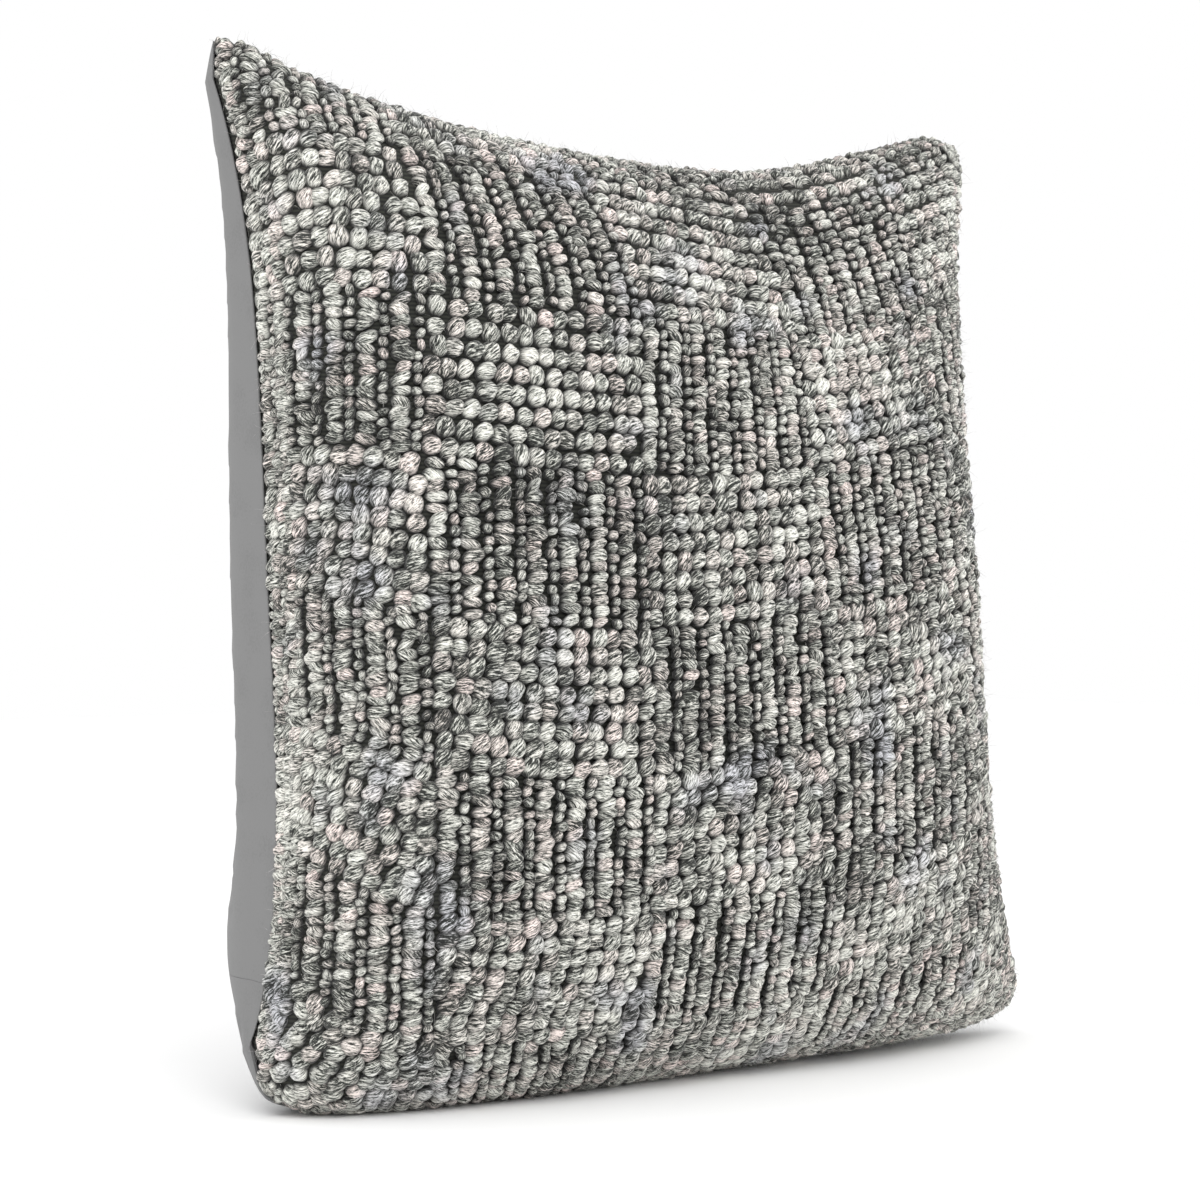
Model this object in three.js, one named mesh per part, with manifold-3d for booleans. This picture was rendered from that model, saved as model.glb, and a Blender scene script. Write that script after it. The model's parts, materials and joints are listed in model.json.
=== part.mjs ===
// Throw pillow: a square zipped cover with a loop-pile front and a plain woven back, over a stuffed insert.
// Millimetres. X is the width, Y the depth with the pile facing -Y, Z up. The origin is on the floor under the
// middle of the bounding box.
//
// Every layer is a dome, given by u across (-1 to 1) and s up the height (0 to 1). Inner layers repeat the outer
// one with a smaller outline and a smaller depth, so they nest without touching.
import * as THREE from "three";
import Module from "manifold-3d";

// ---- Driving dimensions ----
const WIDTH = 506; // bottom corner to bottom corner
const HEIGHT = 500; // floor to the tips of the top corners
const TOP_TAPER = 0.95; // width at the top corners over the width at the bottom ones
const SIDE_PULL = 31; // how far each side seam draws in at mid height
const SIDE_PULL_POWER = 3;
const TOP_SAG = 37; // how far the top seam dips between its corners
const TOP_SAG_POWER = 2.4;
const FRONT_DEPTH = 110; // seam to the crown of the pile
const BACK_DEPTH = 86; // seam to the crown of the back
const SEAM_Y = 14.3; // seam plane behind the middle of the bounding box
const LEAN = 22; // how much farther back the top seam is than the bottom one
const ACROSS_POWER = 3.2; // fullness of the section across
const ACROSS_ROUND = 0.4;
const LOW_ROUND = 0.34; // fullness of the upright section, below and above the crown
const HIGH_ROUND = 0.45;
const CORNER_LIFT = 12; // bottom corners stand off the floor by this less the foot
const CORNER_LIFT_POWER = 8;
const FOOT = 4; // height pressed flat by the floor
const BACK_FLAT = 1.2; // depth pressed flat at the crown of the back
const LEAN_AT_CROWN = 0.06; // share of the lean that the crown has not reached yet

// Layers, from the pile inwards.
const GAP = 0.3; // clearance between neighbouring solids
const EASY_GAP = 0.5; // clearance between layers that curve differently
const SEAM_GAP = 0.15; // each panel's clearance to the seam plane
const PILE = 5; // height of the loops
const PILE_EDGE = 2; // height of the loops at the seam
const CLOTH = 1; // thickness of each woven panel
const CLOTH_EDGE = 2; // its thickness at the seam, where the edge is folded
const BACK_INSET = 1; // the back's outline inside the pile's
const ALLOWANCE = 11; // seam allowance turned inwards
const MITRE_SHARE = 0.1; // share of the height over which the allowance turns each corner
const OVERLOCK_WIDTH = 0.9;
const OVERLOCK_HALF = 1.3;
const TICKING = 0.8; // insert's cloth
const INSERT_INSET = 19.5; // cover's outline to the insert's outline
const INSERT_SEAM_WIDTH = 1;
const INSERT_SEAM_HALF = 0.9;

// Zip across the back, on a level arc. The band it lies on slopes, so its upper edge is farther back.
const ZIP_Z = 62;
const ZIP_LENGTH = 344; // length of the opening, unless the cover is too narrow for it
const ZIP_SIDE = 52; // least distance from the opening to a side seam
const ZIP_END = 6; // distance over which the opening closes
const ZIP_SAGITTA = 13; // rise of the arc over half the opening
const ZIP_SLOPE = 0.34; // dY over dZ of the band
const ZIP_BAND_MARGIN = 2.5; // fully sloped band beyond the tapes
const ZIP_BAND_FADE = 24;
const ZIP_FADE = 46;
const TAPE_WIDTH = 14;
const TAPE = 0.6;
const TAPE_PAST = 5; // tape beyond each end of the opening
const TAPE_INNER = 1.5; // chain's centre line to each tape's inner edge
const CHAIN_HALF = 1; // half the thickness of the teeth
const TOOTH_PITCH = 6;
const TOOTH_ROOT = 2.9; // centre line to the root and to the tip of the teeth
const TOOTH_TIP = 0.75;
const TOOTH_FLANK = 0.6;
const CHAIN_OUTER = 3.6;
const CHAIN_MARGIN = 14; // end of the opening to the end of the chain
const STOP_LENGTH = 4;
const STITCH_WIDTH = 0.8;
const STITCH_HEIGHT = 0.5;
const STITCH_FROM_FOLD = 4;

// Slider and pull, with X along the travel, Y up the band and Z out of it.
const SLIDER_REST = 6; // slider's end to the end of the chain, shut
const SLIDER_CLEAR = 1.2; // slider's side to the folded edge of each panel
const SLIDER_LENGTH = 12;
const SLIDER_WIDTH = 9.6;
const PLATE = 1.2;
const NECK = 0.8;
const NECK_LENGTH = 5;
const FLANGE = 0.8;
const BRIDGE_LENGTH = 6.4;
const BRIDGE_WIDTH = 1.8;
const BRIDGE_POST = 1;
const BRIDGE_BAR = 0.9;
const PIN_RADIUS = 0.6;
const PULL_WIDTH = 6.6;
const PULL_LENGTH = 27;
const PULL_EYE_REACH = 2.8; // eye beyond the bridge
const PULL_EYE_CLEAR = 0.6; // eye's side to the bridge
const PULL_THICK = 1.1;
const PULL_HOLE = 1.5;

// Care label, sewn into the bottom seam beside the zip.
const LABEL = 0.4;
const LABEL_DEPTH = 0.4; // under the panel's inner face
const LABEL_ROWS = 5; // rows of the lower panel that it spans

// ---- Sampling ----
const PLAIN_COLUMNS = [0, 0.2, 0.4, 0.58, 0.85, 0.92, 0.965, 0.99, 1];
const COLUMN_SPACE = 0.03; // plain columns nearer than this to a column at the zip's end are left out
const UPWARD = [0, 0.004, 0.02, 0.06, 0.108, 0.145, 0.22, 0.34, 0.46, 0.58, 0.7, 0.8, 0.88, 0.94, 0.975, 0.993, 1];
const BELOW_ZIP = 4; // rows of UPWARD kept under the zip's band on the back, and the first kept over it
const ABOVE_ZIP = 6;

const HALF_WAY = 0.5; // share of the height where the lower half ends
const LOW_ROWS = UPWARD.filter((s) => s < HALF_WAY).length;

const FRONT = -1;
const BACK = 1;
const clamp01 = (t) => Math.min(Math.max(t, 0), 1);
const smooth = (t) => clamp01(t) ** 2 * (3 - 2 * clamp01(t));

// ---- The pillow's shape ----
const halfWidth = (s) =>
  (WIDTH / 2) * (1 + (TOP_TAPER - 1) * s) - SIDE_PULL * (1 - Math.abs(2 * s - 1) ** SIDE_PULL_POWER);
const bottomZ = (u) => CORNER_LIFT * Math.abs(u) ** CORNER_LIFT_POWER - FOOT;
const topZ = (u) => HEIGHT - TOP_SAG * (1 - Math.abs(u) ** TOP_SAG_POWER);
const seamY = (s) => SEAM_Y + LEAN * (s - 0.5);

function fullness(u, s) {
  const across = Math.max(1 - Math.abs(u) ** ACROSS_POWER, 0) ** ACROSS_ROUND;
  const crown = LOW_ROUND / (LOW_ROUND + HIGH_ROUND);
  const most = crown ** LOW_ROUND * (1 - crown) ** HIGH_ROUND;
  return (across * s ** LOW_ROUND * (1 - s) ** HIGH_ROUND) / most;
}

// Sizes of the zip that follow from those above.
const zipS = (ZIP_Z - bottomZ(0)) / (topZ(0) - bottomZ(0));
const ZIP_HALF = Math.min(ZIP_LENGTH / 2, halfWidth(zipS) - ZIP_SIDE);
const ZIP_SPAN = SLIDER_WIDTH / 2 + SLIDER_CLEAR; // half the open height between the two panels
const ZIP_BAND = TAPE_INNER + TAPE_WIDTH + ZIP_BAND_MARGIN; // half the height of the fully sloped band
const CHAIN_END = ZIP_HALF - CHAIN_MARGIN;
const SLIDER_X = CHAIN_END - SLIDER_REST - SLIDER_LENGTH / 2;
const PANEL_INNER = CLOTH + GAP;
const TAPE_DEPTH = PANEL_INNER + TAPE / 2 + 0.2;
const SLIDER_DEPTH = TAPE_DEPTH + CHAIN_HALF + GAP + PLATE;
const ZIP_RADIUS = (ZIP_HALF ** 2 + ZIP_SAGITTA ** 2) / (2 * ZIP_SAGITTA);

// Columns of every grid. Two stand where the zip's opening ends, and the care label fills the next gap.
const openingEnds = [ZIP_HALF, ZIP_HALF + ZIP_END].map((x) => x / halfWidth(zipS));
const farEnough = (u) => openingEnds.every((end) => Math.abs(u - end) > COLUMN_SPACE);
const HALF_ACROSS = [...PLAIN_COLUMNS.filter(farEnough), ...openingEnds].sort((a, b) => a - b);
const ACROSS = [...HALF_ACROSS.slice(1).reverse().map((u) => -u), ...HALF_ACROSS];
const labelColumn = HALF_ACROSS.indexOf(openingEnds[1]);
const LABEL_SIDES = [-HALF_ACROSS[labelColumn + 1], -HALF_ACROSS[labelColumn]];

// The sloped band that the zip lies on: a cone about an upright axis in front of the pillow.
const backAt = (u, s) => seamY(s) + BACK_DEPTH * fullness(u, s);
const ZIP_CENTRE_Y = backAt(0, zipS) - ZIP_RADIUS;
const bandY = (x, z) => ZIP_CENTRE_Y + Math.sqrt((ZIP_RADIUS + ZIP_SLOPE * (z - ZIP_Z)) ** 2 - x ** 2);
const nearBand = (x, z) =>
  (1 - smooth((Math.abs(z - ZIP_Z) - ZIP_BAND) / ZIP_BAND_FADE)) * (1 - smooth((Math.abs(x) - ZIP_HALF - ZIP_END) / ZIP_FADE));

// A layer is {side, inset, loss, off, foot, sink}: outline inset, depth lost at the crown, distance from the seam
// plane, lowest height, and depth below the back's surface where it passes under the zip.
function pointAt(layer, u, s) {
  const x = u * (halfWidth(s) - layer.inset);
  const low = bottomZ(u) + layer.inset;
  const high = topZ(u) - layer.inset;
  const z = Math.max(low + (high - low) * s, layer.foot);
  const depth = (layer.side === FRONT ? FRONT_DEPTH : BACK_DEPTH) - layer.loss;
  const bulge = layer.off + depth * fullness(u, s);
  if (layer.side === FRONT) return [x, seamY(s) - bulge, z];
  const flatY = SEAM_Y + BACK_DEPTH - BACK_FLAT - LEAN * LEAN_AT_CROWN + layer.off - layer.loss;
  const dome = Math.min(seamY(s) + bulge, flatY);
  const weight = nearBand(x, z) * smooth(bulge / 20);
  return [x, dome * (1 - weight) + (bandY(x, z) - layer.sink) * weight, z];
}

const layer = (side, inset, loss, off, foot, sink = loss) => ({ side, inset, loss, off, foot, sink });

// The share of the height at which a layer's column u crosses height z.
function shareAt(of, u, z) {
  const low = bottomZ(u) + of.inset;
  return (z - low) / (topZ(u) - of.inset - low);
}

// ---- Closed meshes ----
class Body {
  constructor() {
    this.points = [];
    this.faces = [];
  }
  add(point) {
    return this.points.push(point) - 1;
  }
  quad(a, b, c, d) {
    this.faces.push(a, b, c, a, c, d);
  }
  // A grid of points from at(i, j), seen from outside with i to the right and j up unless flipped. The first low
  // rows count as its lower half: each quad is split on the diagonal that points to the nearest corner.
  grid(columns, rows, at, flipped, low = rows) {
    const id = [];
    for (let i = 0; i < columns; i++) {
      id.push([]);
      for (let j = 0; j < rows; j++) id[i].push(this.add(at(i, j)));
    }
    for (let i = 0; i + 1 < columns; i++)
      for (let j = 0; j + 1 < rows; j++) {
        let corners = [id[i][j], id[i + 1][j], id[i + 1][j + 1], id[i][j + 1]];
        const left = i < (columns - 1) / 2;
        const lower = j < low;
        if (left !== lower) corners = [...corners.slice(1), corners[0]];
        const [a, b, c, d] = corners;
        if (flipped) this.quad(a, d, c, b);
        else this.quad(a, b, c, d);
      }
    return id;
  }
  // Joins closed loops of equal length with strips of quads.
  strip(outer, inner, flipped) {
    outer.forEach((a, k) => {
      const next = (k + 1) % outer.length;
      const corners = [a, inner[k], inner[next], outer[next]];
      if (flipped) corners.reverse();
      this.quad(...corners);
    });
  }
  mesh(name, color) {
    const geometry = new THREE.BufferGeometry();
    geometry.setAttribute("position", new THREE.Float32BufferAttribute(this.points.flat(), 3));
    geometry.setIndex(this.faces);
    return finish(name, geometry, color);
  }
}

function finish(name, geometry, color) {
  geometry.computeVertexNormals();
  const made = new THREE.Mesh(geometry, new THREE.MeshStandardMaterial({ color, roughness: 0.9, flatShading: true }));
  made.name = name;
  return made;
}

// The border of a grid of ids, counterclockwise when i runs right and j up.
function border(id) {
  const columns = id.length;
  const rows = id[0].length;
  const loop = [];
  for (let i = 0; i < columns - 1; i++) loop.push(id[i][0]);
  for (let j = 0; j < rows - 1; j++) loop.push(id[columns - 1][j]);
  for (let i = columns - 1; i > 0; i--) loop.push(id[i][rows - 1]);
  for (let j = rows - 1; j > 0; j--) loop.push(id[0][j]);
  return loop;
}

// A shell between two layers over the rows that rowsOf(layer, u) gives. With an allowance, its rim at the seam
// carries a flat flange turned inwards.
function shell(name, color, outer, inner, allowance = 0, rowsOf = () => UPWARD) {
  const body = new Body();
  const flipped = outer.side === BACK;
  const rows = rowsOf(outer, 0).length;
  const low = rowsOf(outer, 0).filter((s) => s < HALF_WAY).length;
  const at = (of) => (i, j) => pointAt(of, ACROSS[i], rowsOf(of, ACROSS[i], i)[j]);
  const outside = body.grid(ACROSS.length, rows, at(outer), flipped, low);
  const inside = body.grid(ACROSS.length, rows, at(inner), !flipped, low);
  const rim = border(outside);
  if (allowance) {
    // Only points on the seam take part in the flange; those on a cut edge stay on the shell's own wall.
    const flange = (off) => {
      const of = { ...outer, off };
      const share = (k) => paramOf(k, rows, rowsOf, outer);
      return rim.map((id, k) => {
        const [u, s] = share(k);
        if (!onSeam(u, s)) return null;
        return body.add(flangePoint(of, u, s, allowance));
      });
    };
    const near = flange(outer.off);
    const far = flange(inner.off);
    const inRim = border(inside);
    rim.forEach((a, k) => {
      const next = (k + 1) % rim.length;
      const chain = (n) => (near[n] === null ? [rim[n], inRim[n]] : [rim[n], near[n], far[n], inRim[n]]);
      sew(body, chain(k), chain(next), flipped);
    });
  } else {
    body.strip(rim, border(inside), flipped);
  }
  return body.mesh(name, color);
}

const onSeam = (u, s) => Math.abs(u) === 1 || s === 0 || s === 1;

// (u, s) of the k-th point of a grid's border.
function paramOf(k, rows, rowsOf, of) {
  const last = ACROSS.length - 1;
  let i = k;
  let j = 0;
  if (k >= last && k < last + rows - 1) {
    i = last;
    j = k - last;
  } else if (k >= last + rows - 1 && k < 2 * last + rows - 1) {
    i = 2 * last + rows - 1 - k;
    j = rows - 1;
  } else if (k >= 2 * last + rows - 1) {
    i = 0;
    j = 2 * (last + rows - 1) - k;
  }
  return [ACROSS[i], rowsOf(of, ACROSS[i], i)[j]];
}

// A point of the seam plane, reach inside the layer's outline, opposite the border point (u, s). Away from the
// corners it is level with that point.
function flangePoint(of, u, s, reach) {
  const x = u * (halfWidth(s) - of.inset - reach);
  const low = bottomZ(u) + of.inset;
  const high = topZ(u) - of.inset;
  const fade = (share) => Math.max(1 - share / MITRE_SHARE, 0);
  return [x, seamY(s) + of.side * of.off, low + (high - low) * s + reach * (fade(s) - fade(1 - s))];
}

// Quads between two neighbouring chains of points, with a triangle fan where one chain is shorter.
function sew(body, a, b, flipped) {
  const face = (...ids) => {
    if (flipped) ids.reverse();
    if (ids.length === 4) body.quad(...ids);
    else body.faces.push(...ids);
  };
  if (a.length === b.length) {
    for (let k = 0; k + 1 < a.length; k++) face(a[k], a[k + 1], b[k + 1], b[k]);
  } else if (a.length > b.length) {
    for (let k = 0; k + 1 < a.length; k++)
      if (k + 2 < a.length) face(a[k], a[k + 1], b[0]);
    face(a[a.length - 2], a[a.length - 1], b[1], b[0]);
  } else {
    for (let k = 0; k + 2 < b.length; k++) face(a[0], b[k + 1], b[k]);
    face(a[0], a[1], b[b.length - 1], b[b.length - 2]);
  }
}

// A ring of rectangular section in the seam plane, from reach to reach + width inside a layer's outline.
function seamRing(name, color, inset, reach, width, half) {
  const body = new Body();
  const path = [];
  ACROSS.slice(0, -1).forEach((u) => path.push([u, 0]));
  UPWARD.slice(0, -1).forEach((s) => path.push([1, s]));
  [...ACROSS].reverse().slice(0, -1).forEach((u) => path.push([u, 1]));
  [...UPWARD].reverse().slice(0, -1).forEach((s) => path.push([-1, s]));
  const loop = (extra, off) =>
    path.map(([u, s]) => body.add(flangePoint({ inset, off, side: BACK }, u, s, reach + extra)));
  const loops = [loop(0, -half), loop(width, -half), loop(width, half), loop(0, half)];
  loops.forEach((from, k) => body.strip(from, loops[(k + 1) % loops.length], true));
  return body.mesh(name, color);
}

// ---- The zip's band ----
const TILT = Math.atan(ZIP_SLOPE);
const angleAt = (x) => Math.asin(x / ZIP_RADIUS);

// A point of the zip: x along the arc, up the band, and out of it (negative is under the back's surface).
function zipPoint(x, up, out) {
  const angle = angleAt(x);
  const radius = ZIP_RADIUS + up * Math.sin(TILT) + out * Math.cos(TILT);
  const z = ZIP_Z + up * Math.cos(TILT) - out * Math.sin(TILT);
  return [radius * Math.sin(angle), ZIP_CENTRE_Y + radius * Math.cos(angle), z];
}

// A strip along the arc. Each station is [x, low, high], and the section runs from depth to depth + thick.
function zipStrip(name, color, stations, depth, thick) {
  const body = new Body();
  const rings = stations.map(([x, low, high]) =>
    [[low, depth], [high, depth], [high, depth + thick], [low, depth + thick]].map(([up, out]) =>
      body.add(zipPoint(x, up, out)),
    ),
  );
  for (let k = 0; k + 1 < rings.length; k++) body.strip(rings[k], rings[k + 1], false);
  const first = rings[0];
  const last = rings[rings.length - 1];
  body.quad(...first);
  body.quad(...[...last].reverse());
  return body.mesh(name, color);
}

const evenly = (from, to, count) => Array.from({ length: count + 1 }, (_, k) => from + ((to - from) * k) / count);
const ordered = (a, b) => [Math.min(a, b), Math.max(a, b)];

function tape(name, side) {
  const ends = ordered(side * TAPE_INNER, side * (TAPE_INNER + TAPE_WIDTH));
  const stations = evenly(-ZIP_HALF - TAPE_PAST, ZIP_HALF + TAPE_PAST, 16).map((x) => [x, ...ends]);
  return zipStrip(name, "#8b8b8a", stations, -TAPE_DEPTH - TAPE / 2, TAPE);
}

// One row of teeth on one face of the tape: a bead with a tooth at every pitch.
function teeth(name, side) {
  const stations = [[-CHAIN_END, TOOTH_ROOT]];
  const count = Math.floor((2 * CHAIN_END) / TOOTH_PITCH) - 1;
  for (let k = 0; k < count; k++) {
    const from = -CHAIN_END + TOOTH_PITCH * (k + 0.5) + (side * TOOTH_PITCH) / 4;
    const to = from + TOOTH_PITCH / 2;
    stations.push([from, TOOTH_ROOT], [from + TOOTH_FLANK, TOOTH_TIP]);
    stations.push([to - TOOTH_FLANK, TOOTH_TIP], [to, TOOTH_ROOT]);
  }
  stations.push([CHAIN_END, TOOTH_ROOT]);
  const rows = stations.map(([x, reach]) => [x, ...ordered(side * reach, side * CHAIN_OUTER)]);
  return zipStrip(name, "#6f7071", rows, -TAPE_DEPTH + TAPE / 2 + GAP, CHAIN_HALF);
}

function stop(name, x, low, high) {
  const stations = [[x, low, high], [x + STOP_LENGTH, low, high]];
  return zipStrip(name, "#8c8e90", stations, -TAPE_DEPTH + TAPE / 2 + GAP, CHAIN_HALF);
}

// A raised line of stitching along a panel's folded edge.
function topstitch(name, side) {
  const from = ZIP_SPAN + STITCH_FROM_FOLD;
  const ends = ordered(side * from, side * (from + STITCH_WIDTH));
  const stations = evenly(-ZIP_HALF + ZIP_END, ZIP_HALF - ZIP_END, 24).map((x) => [x, ...ends]);
  return zipStrip(name, "#9a9a98", stations, GAP * 1.4, STITCH_HEIGHT);
}

// ---- Slider and pull ----
const wasm = await Module();
wasm.setup();
const { Manifold } = wasm;

const box = (x0, x1, y0, y1, z0, z1) => Manifold.cube([x1 - x0, y1 - y0, z1 - z0]).translate([x0, y0, z0]);

const PLATE_TOP = CHAIN_HALF + TAPE / 2 + 2 * GAP + PLATE;
const PIN_Z = PLATE_TOP + GAP + PIN_RADIUS;

function sliderSolid() {
  const half = SLIDER_LENGTH / 2;
  const wide = SLIDER_WIDTH / 2;
  const under = -TAPE / 2 - GAP;
  const top = box(-half, half, -wide, wide, PLATE_TOP - PLATE, PLATE_TOP);
  const bottom = box(-half, half, -wide, wide, under - PLATE, under);
  const neck = box(half - NECK_LENGTH, half, -NECK / 2, NECK / 2, under - 0.1, PLATE_TOP - PLATE + 0.1);
  const sides = [-1, 1].map((side) => {
    const [y0, y1] = ordered(side * wide, side * (wide - FLANGE));
    return box(-half, half, y0, y1, TAPE / 2 + GAP, PLATE_TOP - PLATE + 0.1);
  });
  const rise = PIN_Z + PIN_RADIUS + GAP;
  const ends = [-1, 1].map((side) => {
    const [x0, x1] = ordered((side * BRIDGE_LENGTH) / 2, side * (BRIDGE_LENGTH / 2 - BRIDGE_POST));
    return box(x0, x1, -BRIDGE_WIDTH / 2, BRIDGE_WIDTH / 2, PLATE_TOP - 0.1, rise + 0.1);
  });
  const bar = box(-BRIDGE_LENGTH / 2, BRIDGE_LENGTH / 2, -BRIDGE_WIDTH / 2, BRIDGE_WIDTH / 2, rise, rise + BRIDGE_BAR);
  return Manifold.union([top, bottom, neck, ...sides, ...ends, bar]);
}

// The pull hangs from a round pin under the bridge and lies back over the closed chain.
function pullSolid() {
  const half = PULL_THICK / 2;
  const wide = PULL_WIDTH / 2;
  const pin = Manifold.cylinder(PULL_WIDTH, PIN_RADIUS, PIN_RADIUS, 16, true).rotate([90, 0, 0]);
  const plate = box(0, PULL_LENGTH, -wide, wide, -half, half);
  const eyeHalf = BRIDGE_WIDTH / 2 + PULL_EYE_CLEAR;
  const eye = box(-1, BRIDGE_LENGTH / 2 + PULL_EYE_REACH, -eyeHalf, eyeHalf, -half - 1, half + 1);
  const hole = Manifold.cylinder(PULL_THICK + 2, PULL_HOLE, PULL_HOLE, 16, true).translate([PULL_LENGTH - 4, 0, 0]);
  return plate.subtract(eye).subtract(hole).add(pin).translate([0, 0, PIN_Z]);
}

// Places a solid drawn about the tape's mid-plane at the slider's rest position.
function onZip(name, solid, color) {
  const angle = angleAt(SLIDER_X);
  const along = new THREE.Vector3(-Math.cos(angle), Math.sin(angle), 0);
  const up = new THREE.Vector3(Math.sin(TILT) * Math.sin(angle), Math.sin(TILT) * Math.cos(angle), Math.cos(TILT));
  const out = new THREE.Vector3().crossVectors(along, up);
  const origin = new THREE.Vector3(...zipPoint(SLIDER_X, 0, -TAPE_DEPTH));
  const place = new THREE.Matrix4().makeBasis(along, up, out).setPosition(origin);
  const { numProp, vertProperties, triVerts } = solid.getMesh();
  if (numProp !== 3) throw new Error("expected positions only");
  const geometry = new THREE.BufferGeometry();
  geometry.setAttribute("position", new THREE.BufferAttribute(vertProperties, 3));
  geometry.setIndex(new THREE.BufferAttribute(triVerts, 1));
  geometry.applyMatrix4(place);
  return finish(name, geometry, color);
}

// ---- Assembly ----
const pillow = new THREE.Group();
pillow.name = "throw_pillow";

// Front: loops on a ground cloth, whose edge is turned in at the seam.
const clothInset = PILE_EDGE + EASY_GAP;
const clothLoss = PILE + GAP;
pillow.add(
  shell("loop_pile", "#bcb8b1", layer(FRONT, 0, 0, SEAM_GAP, 0), layer(FRONT, PILE_EDGE, PILE, SEAM_GAP, PILE)),
  shell(
    "front_ground_cloth",
    "#77756f",
    layer(FRONT, clothInset, clothLoss, SEAM_GAP, clothLoss),
    layer(FRONT, clothInset + CLOTH_EDGE, clothLoss + 2 * CLOTH, SEAM_GAP + CLOTH, clothLoss + CLOTH),
    ALLOWANCE + BACK_INSET - clothInset,
  ),
);

// Back: two panels that meet at the zip. Each one's cut edge follows the zip's height.
const backOuter = layer(BACK, BACK_INSET, 0, SEAM_GAP, 0);
const backInner = layer(BACK, BACK_INSET + CLOTH_EDGE, 2 * CLOTH, SEAM_GAP + CLOTH, CLOTH, CLOTH);
const openHalf = (u) => {
  const x = Math.abs(u) * halfWidth(zipS);
  return SEAM_GAP + (ZIP_SPAN * Math.cos(TILT) - SEAM_GAP) * (1 - smooth((x - ZIP_HALF) / ZIP_END));
};
const upperRows = (of, u) => {
  const cut = shareAt(of, u, ZIP_Z + openHalf(u));
  return [cut, shareAt(of, u, ZIP_Z + ZIP_BAND), ...UPWARD.slice(ABOVE_ZIP)];
};
const lowerRows = (of, u) => {
  const cut = shareAt(of, u, ZIP_Z - openHalf(u));
  return [...UPWARD.slice(0, BELOW_ZIP), shareAt(of, u, ZIP_Z - ZIP_BAND), cut];
};
pillow.add(
  shell("back_panel_upper", "#8f8f8f", backOuter, backInner, ALLOWANCE, upperRows),
  shell("back_panel_lower", "#8f8f8f", backOuter, backInner, ALLOWANCE, lowerRows),
  seamRing("seam_overlock", "#a6a5a2", BACK_INSET, ALLOWANCE + EASY_GAP, OVERLOCK_WIDTH, OVERLOCK_HALF),
);

// Insert: two cloth halves, the thread that closes them, and the filling.
const frontClear = clothLoss + CLOTH + 2 * EASY_GAP;
const backClear = CLOTH + 3 * EASY_GAP;
const underZip = SLIDER_DEPTH + TAPE + 2 * GAP + PLATE - CHAIN_HALF;
const insertFront = layer(FRONT, INSERT_INSET, frontClear, SEAM_GAP, 0);
const insertBack = layer(BACK, INSERT_INSET, backClear, SEAM_GAP, 0, underZip);
const within = (of, extra) => ({ ...of, inset: of.inset + extra, loss: of.loss + 2 * extra, sink: of.sink + extra });
pillow.add(
  shell("insert_shell_front", "#d9d6cf", insertFront, within(insertFront, TICKING)),
  shell("insert_shell_back", "#d9d6cf", insertBack, within(insertBack, TICKING)),
  seamRing(
    "insert_edge_seam",
    "#e2e0da",
    INSERT_INSET,
    -INSERT_SEAM_WIDTH - EASY_GAP,
    INSERT_SEAM_WIDTH,
    INSERT_SEAM_HALF,
  ),
);

// The filling is one solid: a front dome and a back dome that share their border.
function filling() {
  const body = new Body();
  const inset = TICKING + EASY_GAP;
  const front = body.grid(
    ACROSS.length,
    UPWARD.length,
    (i, j) => pointAt(within(insertFront, inset), ACROSS[i], UPWARD[j]),
    false,
    LOW_ROWS,
  );
  const back = body.grid(
    ACROSS.length,
    UPWARD.length,
    (i, j) => pointAt(within(insertBack, inset), ACROSS[i], UPWARD[j]),
    true,
    LOW_ROWS,
  );
  body.strip(border(front), border(back), false);
  return body.mesh("insert_filling", "#f1f0ec");
}
pillow.add(filling());

// Zip.
pillow.add(
  tape("zip_tape_upper", 1),
  tape("zip_tape_lower", -1),
  teeth("zip_teeth_upper", 1),
  teeth("zip_teeth_lower", -1),
  stop("zip_bottom_stop", -CHAIN_END - GAP - STOP_LENGTH, -CHAIN_OUTER, CHAIN_OUTER),
  stop("zip_top_stop_upper", CHAIN_END + GAP, TOOTH_TIP, CHAIN_OUTER),
  stop("zip_top_stop_lower", CHAIN_END + GAP, -CHAIN_OUTER, -TOOTH_TIP),
  topstitch("zip_topstitch_upper", 1),
  topstitch("zip_topstitch_lower", -1),
  onZip("zip_slider", sliderSolid(), "#9b9da0"),
  onZip("zip_pull", pullSolid(), "#9b9da0"),
);

// Care label: a slip of woven tape that runs from the bottom seam up the inside of the lower back panel.
function careLabel() {
  const body = new Body();
  const sunk = (by) => ({
    ...backInner,
    inset: backInner.inset + 2 * by,
    loss: backInner.loss + 2 * by,
    off: backInner.off + by,
    foot: backInner.foot + by,
    sink: backInner.sink + by,
  });
  const under = (by) => (i, j) => pointAt(sunk(by), LABEL_SIDES[i], lowerRows(sunk(by), LABEL_SIDES[i])[j]);
  const outside = body.grid(LABEL_SIDES.length, LABEL_ROWS, under(LABEL_DEPTH), true);
  const inside = body.grid(LABEL_SIDES.length, LABEL_ROWS, under(LABEL_DEPTH + LABEL), false);
  body.strip(border(outside), border(inside), true);
  return body.mesh("care_label", "#e8e6e1");
}
pillow.add(careLabel());

export default pillow;
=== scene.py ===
import json
import math

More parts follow.
